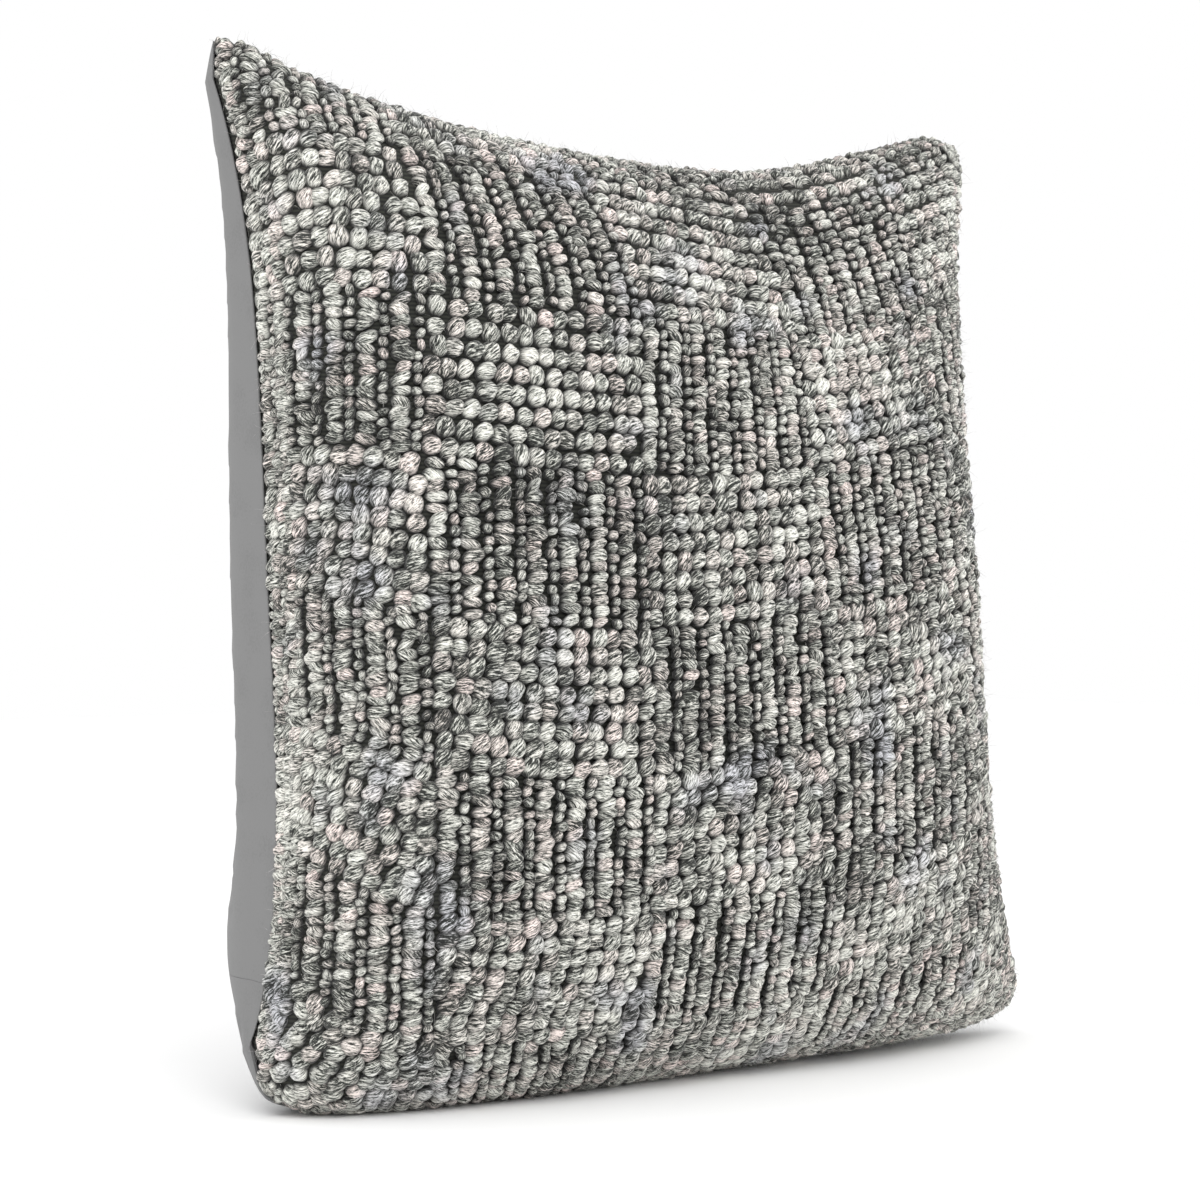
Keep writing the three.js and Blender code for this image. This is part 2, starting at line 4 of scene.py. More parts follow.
import bmesh
import bpy
import numpy as np
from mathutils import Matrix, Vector

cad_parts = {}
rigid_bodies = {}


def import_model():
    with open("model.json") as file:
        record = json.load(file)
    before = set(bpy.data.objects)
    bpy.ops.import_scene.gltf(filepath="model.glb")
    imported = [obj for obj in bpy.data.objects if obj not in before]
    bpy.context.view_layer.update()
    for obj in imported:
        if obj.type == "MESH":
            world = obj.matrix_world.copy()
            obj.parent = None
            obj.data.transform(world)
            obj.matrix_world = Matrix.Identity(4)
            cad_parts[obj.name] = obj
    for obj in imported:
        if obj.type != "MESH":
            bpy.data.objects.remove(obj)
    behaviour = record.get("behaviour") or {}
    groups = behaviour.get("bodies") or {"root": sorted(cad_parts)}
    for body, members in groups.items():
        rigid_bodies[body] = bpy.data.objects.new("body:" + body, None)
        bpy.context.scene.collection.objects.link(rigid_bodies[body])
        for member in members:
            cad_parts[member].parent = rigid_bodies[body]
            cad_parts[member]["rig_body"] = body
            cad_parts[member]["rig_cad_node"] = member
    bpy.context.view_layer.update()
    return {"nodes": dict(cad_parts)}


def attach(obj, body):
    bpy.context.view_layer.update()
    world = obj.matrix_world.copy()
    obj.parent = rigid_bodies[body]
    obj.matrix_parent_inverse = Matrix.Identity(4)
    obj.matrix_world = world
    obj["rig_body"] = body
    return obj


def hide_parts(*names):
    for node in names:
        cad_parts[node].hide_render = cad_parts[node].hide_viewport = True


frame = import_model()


# ---- Front cloth ----
# The cover's front is cut 508 mm square from a heavy open canvas, and the loops are tufted through it. It is
# sewn to the back all round and pushed out into a dome by the insert.

MM = 0.001
WIDTH = 506  # across the bottom corners, once stuffed
HEIGHT = 500
TOP_TAPER = 0.965  # width across the top corners, as a share of the width across the bottom ones
SIDE_PULL = 31.5  # how far the stuffing draws each side in at mid height, and the top down at its middle
TOP_SAG = 36
SIDE_CURVE = 3  # powers of those two curves
TOP_CURVE = 2.4
BLUNT = 8  # how far the seams run straight into each corner, where the stuffing leaves it flat and square
FRONT_DEPTH = 110
BACK_DEPTH = 86
SHOULDER = 3.2  # powers that shape the dome: across, up from the bottom seam, and down from the top one
FOOT_RISE = 0.34
CREST_FALL = 0.45
SEAM_Y = 14.3
LEAN = 22  # how far back the top seam lies from the bottom one
CORNER_LIFT = 12
FOOT = 4  # how far under the floor the bottom would hang, if it weren't pressed flat on it
EASE = 5.5  # how much higher the bottom runs at the right, off the flat it stands on
SWAY = 20  # how far the bottom corners swing to one side as the cover stands
SWAY_AT_TOP = 10
TUCK = 7  # how far the left bottom corner curls up off the floor, and in
TUCK_IN = 9
TUCK_HEIGHT = 0.14  # share of the height over which it does
TILT = 2.5  # how far the top edge drops from its middle to the right, and how far its right corner droops
DROOP = 7
HUMP = 12  # strength of a hump in the top edge's left half, and of a dip like it in the right one
BOW = 3.5  # how far the left side bows out, above the middle
AT_CORNER = 8  # power that keeps a pull to the last few centimetres before a corner
CLEAR = 0.15  # half the gap kept between two pieces that lie on each other


def half_width(s):
    """Half the cover's width at height share s, drawn in by the stuffing."""
    drawn_in = (SIDE_PULL + BLUNT) * (1 - np.abs(2 * s - 1) ** SIDE_CURVE) - BLUNT
    return WIDTH / 2 * (1 + (TOP_TAPER - 1) * s) - np.maximum(drawn_in, 0)


def top_edge(u):
    """Height of the top seam at u, from -1 at the left corner to 1 at the right one."""
    sagged = (TOP_SAG + BLUNT) * (1 - np.abs(u) ** TOP_CURVE) - BLUNT
    hump = HUMP * u * (1 - np.abs(u) ** 2) ** 3
    return HEIGHT - np.maximum(sagged, 0) - TILT * u - hump - DROOP * np.maximum(u, 0) ** AT_CORNER


def smooth(t):
    """A step that eases from 0 to 1 while t goes from 0 to 1."""
    t = np.clip(t, 0, 1)
    return t * t * (3 - 2 * t)


def bottom_edge(u):
    """Height of the bottom seam at u, before the floor presses it flat."""
    return CORNER_LIFT * np.abs(u) ** AT_CORNER - FOOT + EASE * smooth((u + 0.5) / 1.1)


def fullness(u, s, side_power=0.4):
    """The dome's depth at u and s, from 0 along the seams to 1 at its deepest."""
    across = np.clip(1 - np.abs(u) ** SHOULDER, 0, 1) ** side_power
    crown = FOOT_RISE / (FOOT_RISE + CREST_FALL)
    most = crown**FOOT_RISE * (1 - crown) ** CREST_FALL
    return across * np.clip(s, 0, 1) ** FOOT_RISE * np.clip(1 - s, 0, 1) ** CREST_FALL / most


def corner_move(u, s):
    """How far a point swings sideways and curls up, by its place on the panel."""
    near_corner = np.abs(u) ** AT_CORNER * (2 * s - 1) ** 2
    sideways = near_corner * np.where(s < 0.5, SWAY, SWAY_AT_TOP)
    on_left = np.maximum(-u, 0)
    tucked = smooth(1 - s / TUCK_HEIGHT)
    bowed = on_left**3 * np.sin(math.pi * np.clip(s, 0, 1) ** 1.6) ** 2
    return sideways + TUCK_IN * tucked * on_left**4 - BOW * bowed, TUCK * tucked * on_left**10


def front_point(u, s, inset=0.0, loss=0.0, off=CLEAR, foot=0.0):
    """A point of the front, u across (-1 to 1) and s up (0 to 1), inset from the outline and sunk by loss."""
    u, s = np.broadcast_arrays(np.asarray(u, float), np.asarray(s, float))
    sideways, curl = corner_move(u, s)
    low = bottom_edge(u) + inset + curl
    high = top_edge(u) - inset
    x = u * (half_width(s) - inset) + sideways
    y = SEAM_Y + LEAN * (s - 0.5) - off - (FRONT_DEPTH - loss) * fullness(u, s)
    return np.stack([x, y, np.maximum(low + (high - low) * s, foot)], -1)


def eased(count):
    """Shares from 0 to 1 that crowd towards both ends, where the dome turns over into the seam."""
    return (1 - np.cos(np.linspace(0, math.pi, count))) / 2


def new_mesh(name, points, faces):
    """A smooth-shaded object from points in mm and faces that all have the same number of corners."""
    mesh = bpy.data.meshes.new(name)
    points = np.asarray(points, np.float32) * MM
    faces = np.asarray(faces, np.int32)
    mesh.vertices.add(len(points))
    mesh.vertices.foreach_set("co", points.ravel())
    mesh.loops.add(faces.size)
    mesh.loops.foreach_set("vertex_index", faces.ravel())
    mesh.polygons.add(len(faces))
    mesh.polygons.foreach_set("loop_start", np.arange(len(faces), dtype=np.int32) * faces.shape[1])
    mesh.update(calc_edges=True)
    mesh.shade_smooth()
    made = bpy.data.objects.new(name, mesh)
    bpy.context.scene.collection.objects.link(made)
    return made


def grid_faces(columns, rows, start=0, flipped=False):
    """Quads of a grid stored column by column, seen from outside with columns to the right unless flipped."""
    i, j = np.meshgrid(np.arange(columns - 1), np.arange(rows - 1), indexing="ij")
    a = (start + i * rows + j).ravel()
    quads = np.stack([a, a + rows, a + rows + 1, a + 1], -1)
    return quads[:, ::-1] if flipped else quads


def edge_ring(columns, rows):
    """The grid's outer vertices in order, counter-clockwise seen from outside."""
    bottom = np.arange(columns) * rows
    right = (columns - 1) * rows + np.arange(rows)
    top = np.arange(columns)[::-1] * rows + rows - 1
    left = np.arange(rows)[::-1]
    return np.concatenate([bottom[:-1], right[:-1], top[:-1], left[:-1]])


def shell(name, outer, inner, flipped=False):
    """A closed sheet between two grids of points of the same size."""
    columns, rows = outer.shape[:2]
    count = columns * rows
    ring = edge_ring(columns, rows)
    after = np.roll(ring, -1)
    rim = np.stack([ring, ring + count, after + count, after], -1)
    rim = rim[:, ::-1] if flipped else rim
    outside = grid_faces(columns, rows, 0, flipped)
    inside = grid_faces(columns, rows, count, not flipped)
    points = np.concatenate([outer.reshape(-1, 3), inner.reshape(-1, 3)])
    return new_mesh(name, points, np.concatenate([outside, inside, rim]))


def linear(hex_colour):
    """Linear RGBA from an sRGB hex colour."""
    parts = [int(hex_colour[k : k + 2], 16) / 255 for k in (1, 3, 5)]
    return [c / 12.92 if c <= 0.04045 else ((c + 0.055) / 1.055) ** 2.4 for c in parts] + [1.0]


def new_material(name, roughness, colour=None, **sockets):
    """A material with its tree and Principled shader."""
    material = bpy.data.materials.new(name)
    material.use_nodes = True
    tree = material.node_tree
    shader = tree.nodes["Principled BSDF"]
    shader.inputs["Roughness"].default_value = roughness
    if colour:
        shader.inputs["Base Color"].default_value = linear(colour)
    for socket, value in sockets.items():
        shader.inputs[socket.replace("_", " ")].default_value = value
    return material, tree, shader


def add(tree, kind, links=None, values=None, **settings):
    """A node with its settings, socket values and incoming links."""
    node = tree.nodes.new(kind)
    for key, value in settings.items():
        setattr(node, key, value)
    for key, value in (values or {}).items():
        node.inputs[key].default_value = value
    for key, socket in (links or {}).items():
        tree.links.new(socket, node.inputs[key])
    return node


def coloured_between(tree, shader, pattern, dark, light, start=0.0, end=1.0):
    """Colours a surface from dark to light as its pattern goes from start to end."""
    shade = add(tree, "ShaderNodeValToRGB", {"Fac": pattern})
    low, high = shade.color_ramp.elements
    low.position = start
    low.color = linear(dark)
    high.position = end
    high.color = linear(light)
    tree.links.new(shade.outputs["Color"], shader.inputs["Base Color"])


def per_grain(spacing):
    """The scale of a noise whose grains are about that many millimetres apart."""
    return 1 / (spacing * MM)


def per_band(spacing):
    """The scale of a wave whose bands are that many millimetres apart."""
    return math.pi / 10 / (spacing * MM)


CLOTH_LINES = 90  # lines of points across each cloth, and up the canvas
PILE_DEPTH = 5.3  # from the tops of the loops down to the canvas
CANVAS_THICK = 1.0
u_lines = 2 * eased(CLOTH_LINES) - 1
canvas_u, canvas_s = np.meshgrid(u_lines, eased(CLOTH_LINES), indexing="ij")
canvas_outer = front_point(canvas_u, canvas_s, inset=2.5, loss=PILE_DEPTH, foot=PILE_DEPTH)
under = PILE_DEPTH + CANVAS_THICK
canvas_inner = front_point(canvas_u, canvas_s, inset=4.5, loss=under, off=CLEAR + CANVAS_THICK, foot=under)
front_cloth = shell("front_canvas", canvas_outer, canvas_inner)

# Dark charcoal canvas: all that shows is the shadowed thread at the bottom of the gaps between the loops.
CANVAS_YARN = 1.96  # spacing of its yarns
canvas, tree, shader = new_material("dark cotton canvas", 0.95)
place = add(tree, "ShaderNodeTexCoord")
yarns = add(tree, "ShaderNodeTexWave", {"Vector": place.outputs["Object"]},
            {"Scale": per_band(CANVAS_YARN), "Distortion": 1.5}, bands_direction="Z")
coloured_between(tree, shader, yarns.outputs["Fac"], "#1b1c1a", "#34352f")
front_cloth.data.materials.append(canvas)
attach(front_cloth, "cover")
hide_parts("front_ground_cloth")


# ---- Loop pile ----
# Thick heather yarn, four loose plies of grey, cream and charcoal wool blend, tufted through the canvas in
# fat loops. Blocks of level rows change places with blocks of upright ribs, like a basket weave.

CUT = 508  # the panel's side, laid flat
BLOCK_COLUMNS = 6
BLOCK_LINES = range(-2, 8)  # numbered from the one that starts at FIRST_LINE, up the middle
BLOCK_ACROSS = 105.5
BLOCK_START = -269.5  # where the first column of blocks begins, left of the middle
BLOCK_UP = 53
BLOCK_STRETCH = 1.9  # half of how much taller each line of blocks is than the one below
FIRST_LINE = 81
OFF_SQUARE = 0.07  # how far a row climbs for each mm across, since the cloth was cut a touch off square
ROWS_IN_BLOCK = 8
LOOPS_IN_ROW = 13
RIBS_IN_BLOCK = 7
RIB_AT = 0.34  # where in its share of the block each rib stands, and the thin low one beside it
LOW_RIB_AT = 0.84
LOOPS_IN_RIB = 14
STRAY_ACROSS = 1.5  # how far whole rows and ribs stray, and how far a loop does on its own
STRAY_UP = 1.3
LOOSE_ACROSS = 0.6
LOOSE_UP = 0.32
SEAM_MARGIN = 4  # loops that would start up to this far past a seam crowd in beside it
SIDE_BARE = 2.5  # clear cloth between the roll at each side and the middles of the nearest loops
END_BARE = 1.5  # and from the top and bottom seams
PLIES = 4
AROUND = 16  # points round a loop, and rings along it
ALONG = 8
# Each kind of loop: its least and most length, width and height, then the mean and spread of its turn in
# degrees. A loop with no turn lies across the panel.
ROW_LOOPS = {"length": (10.0, 12.2), "width": (8.0, 9.8), "height": (6.4, 8.2), "turn": (56, 16)}
RIB_LOOPS = {"length": (9.0, 12.4), "width": (5.0, 7.6), "height": (5.6, 8.4), "turn": (20, 18)}
LOW_LOOPS = {"length": (4.8, 7.2), "width": (3.6, 5.2), "height": (4.2, 6.0), "turn": (50, 35)}

rng = np.random.default_rng(11)

# Fabric places: a and b are millimetres across from the middle and up from the bottom of the flat panel.
TABLE_SIZE = 161
u_table = np.linspace(-1, 1, TABLE_SIZE)
s_table = np.linspace(0, 1, TABLE_SIZE)
surface = front_point(*np.meshgrid(u_table, s_table, indexing="ij"))
steps_across = np.linalg.norm(np.diff(surface, axis=0), axis=-1)
steps_up = np.linalg.norm(np.diff(surface, axis=1), axis=-1)
run_across = np.concatenate([np.zeros((1, TABLE_SIZE)), np.cumsum(steps_across, 0)])
run_up = np.concatenate([np.zeros((TABLE_SIZE, 1)), np.cumsum(steps_up, 1)], 1)
share_across = run_across / run_across[-1]
share_up = run_up / run_up[:, -1:]
even = np.linspace(0, 1, TABLE_SIZE)
u_of_share = np.stack([np.interp(even, share_across[:, j], u_table) for j in range(TABLE_SIZE)], 1)
s_of_share = np.stack([np.interp(even, share_up[i], s_table) for i in range(TABLE_SIZE)])


def look_up(table, p, q):
    """The table's value at shares p and q, between its entries."""
    p = np.clip(p, 0, 1) * (TABLE_SIZE - 1)
    q = np.clip(q, 0, 1) * (TABLE_SIZE - 1)
    i = np.minimum(p.astype(int), TABLE_SIZE - 2)
    j = np.minimum(q.astype(int), TABLE_SIZE - 2)
    f, g = p - i, q - j
    low = table[i, j] * (1 - f) + table[i + 1, j] * f
    high = table[i, j + 1] * (1 - f) + table[i + 1, j + 1] * f
    return low * (1 - g) + high * g


def panel_place(a, b):
    """The (u, s) at which flat place (a, b) lies on the stuffed panel, found by closing in on it."""
    p, q = a / CUT + 0.5, b / CUT
    s = q.copy()
    for _ in range(8):
        u = look_up(u_of_share, p, s)
        s = look_up(s_of_share, (u + 1) / 2, q)
    return u, s


def up_from_row(k, a):
    """Height b of block line k at place a. The blocks stretch towards the top."""
    return FIRST_LINE + BLOCK_UP * k + BLOCK_STRETCH * k * k + OFF_SQUARE * a


def wander(x, y, seed):
    """A slow sum of five waves, of about -1 to 1, by which the hand-guided rows stray."""
    local = np.random.default_rng(seed)
    total = np.zeros_like(x)
    for _ in range(5):
        turn_across = local.uniform(-0.03, 0.03)
        turn_up = local.uniform(-0.03, 0.03)
        total = total + np.sin(turn_across * x + turn_up * y + local.uniform(0, 6.28))
    return total / 2.2


RIB_DRAG = 15  # how far the ribs are dragged to the right near the top, and the rows down
ROW_DRAG = 17


def dragged_askew(a, b):
    """Where the cloth's bias stretch drags (a, b): near the top the rows droop and the ribs lean."""
    to_right = RIB_DRAG * np.exp(-(((a + 60) / 110) ** 2) - ((b - 402) / 55) ** 2)
    droop = smooth((a + 60) / 150) * (1 - 0.8 * smooth((a - 100) / 150))
    return a + to_right, b - ROW_DRAG * droop * np.exp(-(((b - 438) / 58) ** 2))


ROLL_OVER = 7  # most of the back cloth that rolls round a side seam onto the front


def turned_over(s):
    """Width of that roll at height share s: none at the corners, and widest low down."""
    return ROLL_OVER * smooth((s - 0.04) / 0.12) * np.clip(1 - s, 0, 1) ** 1.5


places = []
low_lying = []
drawn = {"length": [], "width": [], "height": [], "turn": []}
for column in range(BLOCK_COLUMNS):
    for row in BLOCK_LINES:
        in_rows = (column + row) % 2 == 1
        across, up = (LOOPS_IN_ROW, ROWS_IN_BLOCK) if in_rows else (RIBS_IN_BLOCK * 2, LOOPS_IN_RIB)
        i, j = np.meshgrid(np.arange(across), np.arange(up), indexing="ij")
        i, j = i.ravel(), j.ravel()
        narrow = (not in_rows) & (i % 2 == 1)
        if in_rows:
            shift = rng.uniform(-0.5, 0.5, ROWS_IN_BLOCK)[j]
            slot_across = (i + 0.5 + 0.5 * shift) / across
        else:
            slot_across = (i // 2 + np.where(narrow, LOW_RIB_AT, RIB_AT)) / RIBS_IN_BLOCK
        a = BLOCK_START + BLOCK_ACROSS * (column + slot_across)
        shift_up = 0 if in_rows else rng.uniform(-0.5, 0.5, RIBS_IN_BLOCK * 2)[i]
        k = row + (j + 0.5 + 0.5 * shift_up) / up
        places.append(np.stack([a, k], -1))
        low_lying.append(narrow)
        for measure, so_far in drawn.items():
            draw = rng.normal if measure == "turn" else rng.uniform
            if in_rows:
                so_far.append(draw(*ROW_LOOPS[measure], len(i)))
            else:
                low = draw(*LOW_LOOPS[measure], len(i))
                so_far.append(np.where(narrow, low, draw(*RIB_LOOPS[measure], len(i))))
places = np.concatenate(places)
low_lying = np.concatenate(low_lying)
a, k = places[:, 0], places[:, 1]
b = up_from_row(k, a)
a = a + STRAY_ACROSS * wander(a, b, 3) + rng.normal(0, LOOSE_ACROSS, len(a))
b = b + STRAY_UP * wander(a, b, 4) + rng.normal(0, LOOSE_UP, len(b))
a, b = dragged_askew(a, b)
bare = turned_over(b / CUT) + SIDE_BARE
kept = np.maximum(np.abs(a), np.abs(b - CUT / 2)) < CUT / 2 + SEAM_MARGIN
a = np.clip(a, bare - CUT / 2, CUT / 2 - bare)[kept]
b = np.clip(b, END_BARE, CUT - END_BARE)[kept]
low_lying = low_lying[kept]
lengths, widths, heights, turns = (np.concatenate(one)[kept] for one in drawn.values())
u, s = panel_place(a, b)


def unit(v):
    """The vectors v, each made one long."""
    return v / np.maximum(np.linalg.norm(v, axis=-1, keepdims=True), 1e-9)


def frame_at(u, s):
    """Place, across direction, up direction and outward normal on the front."""
    step = 0.004
    u_low, u_high = np.clip(u - step, -1, 1), np.clip(u + step, -1, 1)
    s_low, s_high = np.clip(s - step, 0, 1), np.clip(s + step, 0, 1)
    across = unit(front_point(u_high, s) - front_point(u_low, s))
    up = unit(front_point(u, s_high) - front_point(u, s_low))
    return front_point(u, s), across, up, unit(np.cross(across, up))


centre, across, up, normal = frame_at(u, s)
turn = np.radians(turns)[:, None]
axis = unit(np.cos(turn) * across + np.sin(turn) * up)
side = np.cross(normal, axis)
STANDS_PROUD = 0.6  # of the cover's outline, give or take UNEVEN
UNEVEN = 0.45
sunk = heights / 2 - STANDS_PROUD + rng.normal(0, UNEVEN, len(u))
centre = centre - normal * sunk[:, None]
centre[:, 2] = np.maximum(centre[:, 2], heights / 2 - 0.8)

# One loop is a bent, plied bean: rings along its axis, pinched at both ends where it dives into the canvas.
ring_turn = np.linspace(0, 2 * math.pi, AROUND, endpoint=False) - math.pi / 2
ring_at = -np.cos(np.linspace(0, math.pi, ALONG + 2))[1:-1]
twist = rng.uniform(0.5, 1.1, len(u))[:, None, None]
phase = rng.uniform(0, 6.28, len(u))[:, None, None]
T, W = np.meshgrid(ring_at, ring_turn, indexing="ij")
ply_turn = PLIES * (W[None] - twist * T[None]) + phase
lump = rng.uniform(0, 6.28, (3, len(u), 1, 1))
PLY_RELIEF = 0.075  # shares of the loop's half width or height: its plies, its lumps, and its ends' dip
LUMP = 0.09
SMALL_LUMP = 0.06
DIP = 0.35
lumps = LUMP * np.cos(2 * W + lump[0]) * np.cos(2.2 * T + lump[1])
lumps = lumps + SMALL_LUMP * np.cos(3 * W + lump[2] + 1.5 * T)
girth = (1 - np.abs(T[None]) ** 2.6) ** 0.5 * (1 + PLY_RELIEF * np.cos(ply_turn) + lumps)
out = np.cos(W)[None] * girth
rise = np.sin(W)[None] * girth - DIP * T[None] ** 2
half = np.stack([lengths, widths, heights], -1)[:, None, None, :] / 2
local = np.stack([np.broadcast_to(T[None], out.shape), out, rise], -1) * half
basis = np.stack([axis, side, normal], 1)
rings = centre[:, None, None, :] + np.einsum("nijk,nkl->nijl", local, basis)
tips = np.array([-1.02, 1.02])[None, :, None] * half[:, 0, :, 0:1]
ends = centre[:, None, :] + tips * axis[:, None, :] - DIP * half[:, 0, :, 2:3] * normal[:, None, :]
loops = len(u)
loop_points = np.concatenate([rings.reshape(loops, -1, 3), ends], 1)
loop_points[..., 2] = np.maximum(loop_points[..., 2], 0.02 + 0.1 * rng.random((loops, 1)))
per_loop = ALONG * AROUND + 2

body = []
for ring in range(ALONG - 1):
    for m in range(AROUND):
        n = (m + 1) % AROUND
        first, second = ring * AROUND, (ring + 1) * AROUND
        body.append([first + m, second + m, second + n, first + n])
caps = []
for m in range(AROUND):
    n = (m + 1) % AROUND
    caps.append([m, n, per_loop - 2, per_loop - 2])
    caps.append([(ALONG - 1) * AROUND + n, (ALONG - 1) * AROUND + m, per_loop - 1, per_loop - 1])
body, caps = np.array(body), np.array(caps)[:, :3]
triangles = np.concatenate([body[:, [0, 1, 2]], body[:, [0, 2, 3]], caps])

# Streak place along the plies, for the colour: round the loop, along it, and a number of its own.
streak_round = (W[None] - twist * T[None] + math.pi / 2) / (2 * math.pi)
streak_along = np.broadcast_to(T[None], streak_round.shape)
own_number = np.broadcast_to(rng.random((loops, 1, 1)), streak_round.shape)
streak = np.stack([streak_round, streak_along, own_number], -1).reshape(loops, -1, 3)
tip_numbers = np.repeat(streak[:, :1, 2], 2, 1)
tip_streak = np.stack([np.full((loops, 2), 0.5), np.tile([-1.0, 1.0], (loops, 1)), tip_numbers], -1)
streak = np.concatenate([streak, tip_streak], 1)
# How high each point stands on its loop, from about -1 to 1, by which shade is painted down its flanks. The
# thin loops between the ribs get more of this painted shade.
LOW_LOOP_SHADE = 0.15
shade_height = np.concatenate([(local[..., 2] / half[..., 2]).reshape(loops, -1), np.full((loops, 2), -0.5)], 1)
shade_height = shade_height - LOW_LOOP_SHADE * low_lying[:, None]

# Heather wool yarn: pale pinkish and greenish greys and hair-thin charcoal fibres along the plies, with
# painted shade darkening each loop's flanks.
# Its strokes are drawn on the loop's own round, so their scale is the loop's half width over their spacing.
LOOP_HALF_WIDTH = 4.6
STROKE = 1.0
FINE_STROKE = 0.5111
PATCH = 62.5  # spacing of the paler and darker places of the whole panel, and of its bluish ones
BLUE_PATCH = 38.46
APART = 91.7  # spreads the loops' own numbers, so that no two loops are streaked alike
LONG_WAY = 0.32  # stretches the strokes along the loop
wool, tree, shader = new_material("heather wool yarn", 0.9, Sheen_Weight=0.15, Sheen_Roughness=0.6)
ply = add(tree, "ShaderNodeAttribute", attribute_name="streak")
parts = add(tree, "ShaderNodeSeparateXYZ", {"Vector": ply.outputs["Vector"]})
own = add(tree, "ShaderNodeMath", {0: parts.outputs["Z"]}, {1: APART}, operation="MULTIPLY")
round_turn = add(tree, "ShaderNodeMath", {0: parts.outputs["X"]}, {1: 2 * math.pi}, operation="MULTIPLY")
round_x = add(tree, "ShaderNodeMath", {0: round_turn.outputs[0]}, operation="COSINE")
round_y = add(tree, "ShaderNodeMath", {0: round_turn.outputs[0]}, operation="SINE")
length_way = add(tree, "ShaderNodeMath", {0: parts.outputs["Y"]}, {1: LONG_WAY}, operation="MULTIPLY")
strand = add(tree, "ShaderNodeCombineXYZ",
             {"X": round_x.outputs[0], "Y": round_y.outputs[0], "Z": length_way.outputs[0]})
streaks = add(tree, "ShaderNodeTexNoise", {"Vector": strand.outputs[0], "W": own.outputs[0]},
              {"Scale": LOOP_HALF_WIDTH / STROKE, "Detail": 3.0, "Roughness": 0.75}, noise_dimensions="4D")
fine = add(tree, "ShaderNodeTexNoise", {"Vector": strand.outputs[0], "W": own.outputs[0]},
           {"Scale": LOOP_HALF_WIDTH / FINE_STROKE, "Detail": 1.0, "Roughness": 0.5}, noise_dimensions="4D")
loop_tone = add(tree, "ShaderNodeTexWhiteNoise", {"W": own.outputs[0]}, noise_dimensions="1D")
tone_shift = add(tree, "ShaderNodeMapRange", {"Value": loop_tone.outputs["Value"]},
                 {"To Min": -0.05, "To Max": 0.05})
place = add(tree, "ShaderNodeTexCoord")
patches = add(tree, "ShaderNodeTexNoise", {"Vector": place.outputs["Object"]},
              {"Scale": per_grain(PATCH), "Detail": 2.0})
patch_shift = add(tree, "ShaderNodeMapRange", {"Value": patches.outputs["Fac"]},
                  {"From Min": 0.3, "From Max": 0.7, "To Min": -0.035, "To Max": 0.035})
shifted = add(tree, "ShaderNodeMath", {0: streaks.outputs["Fac"], 1: tone_shift.outputs[0]}, operation="ADD")
shifted = add(tree, "ShaderNodeMath", {0: shifted.outputs[0], 1: patch_shift.outputs[0]}, operation="ADD")
shades = add(tree, "ShaderNodeValToRGB", {"Fac": shifted.outputs[0]})
yarn_greys = shades.color_ramp.elements
yarn_greys.remove(yarn_greys[1])
yarn_greys[0].position = 0.42
yarn_greys[0].color = linear("#1f211e")
for position, colour in ((0.455, "#474945"), (0.487, "#b0b1ac"), (0.53, "#dad7d4"), (0.61, "#fbf8f5")):
    yarn_greys.new(position).color = linear(colour)
loop_hairs = add(tree, "ShaderNodeSeparateColor", {"Color": loop_tone.outputs["Color"]})
depth = add(tree, "ShaderNodeMapRange", {"Value": loop_hairs.outputs["Green"]},
            {"To Min": 0.5, "To Max": 0.08})
hairs = add(tree, "ShaderNodeMapRange", {"Value": fine.outputs["Fac"], "To Min": depth.outputs[0]},
            {"From Min": 0.40, "From Max": 0.47, "To Max": 1.0})
# Painted shade: the colour darkens down each loop's flanks towards the canvas, by the point's height on its
# loop, standing in for the shade deep in the pile.
height_for_shade = add(tree, "ShaderNodeAttribute", attribute_name="rise")
flank_shade = add(tree, "ShaderNodeMapRange", {"Value": height_for_shade.outputs["Fac"]},
            {"From Min": -0.15, "From Max": 0.8, "To Min": 0.04, "To Max": 1.0},
            interpolation_type="SMOOTHSTEP")
hair_and_flank_shade = add(tree, "ShaderNodeMath", {0: hairs.outputs[0], 1: flank_shade.outputs[0]}, operation="MULTIPLY")
tint = add(tree, "ShaderNodeValToRGB", {"Fac": loop_tone.outputs["Color"]})
greenish, pinkish = tint.color_ramp.elements
greenish.position = 0.5
greenish.color = linear("#f3f6f0")
pinkish.position = 0.95
pinkish.color = linear("#fff0ed")
blue_spots = add(tree, "ShaderNodeTexNoise", {"Vector": place.outputs["Object"]},
                 {"Scale": per_grain(BLUE_PATCH), "Detail": 1.0})
bluish = add(tree, "ShaderNodeMapRange", {"Value": blue_spots.outputs["Fac"]},
             {"From Min": 0.58, "From Max": 0.75})
cooled = add(tree, "ShaderNodeMix", data_type="RGBA")
cooled.inputs[7].default_value = linear("#dfe2ea")
tree.links.new(bluish.outputs[0], cooled.inputs[0])
tree.links.new(tint.outputs["Color"], cooled.inputs[6])
tinted = add(tree, "ShaderNodeMix", data_type="RGBA", blend_type="MULTIPLY")
tinted.inputs[0].default_value = 1.0
tree.links.new(shades.outputs["Color"], tinted.inputs[6])
tree.links.new(cooled.outputs[2], tinted.inputs[7])
dimmed = add(tree, "ShaderNodeVectorMath", {0: tinted.outputs[2]}, operation="SCALE")
tree.links.new(hair_and_flank_shade.outputs[0], dimmed.inputs["Scale"])
tree.links.new(dimmed.outputs[0], shader.inputs["Base Color"])
hair = add(tree, "ShaderNodeBump", {"Height": streaks.outputs["Fac"]},
           {"Strength": 0.5, "Distance": 0.6 * MM})
tree.links.new(hair.outputs["Normal"], shader.inputs["Normal"])

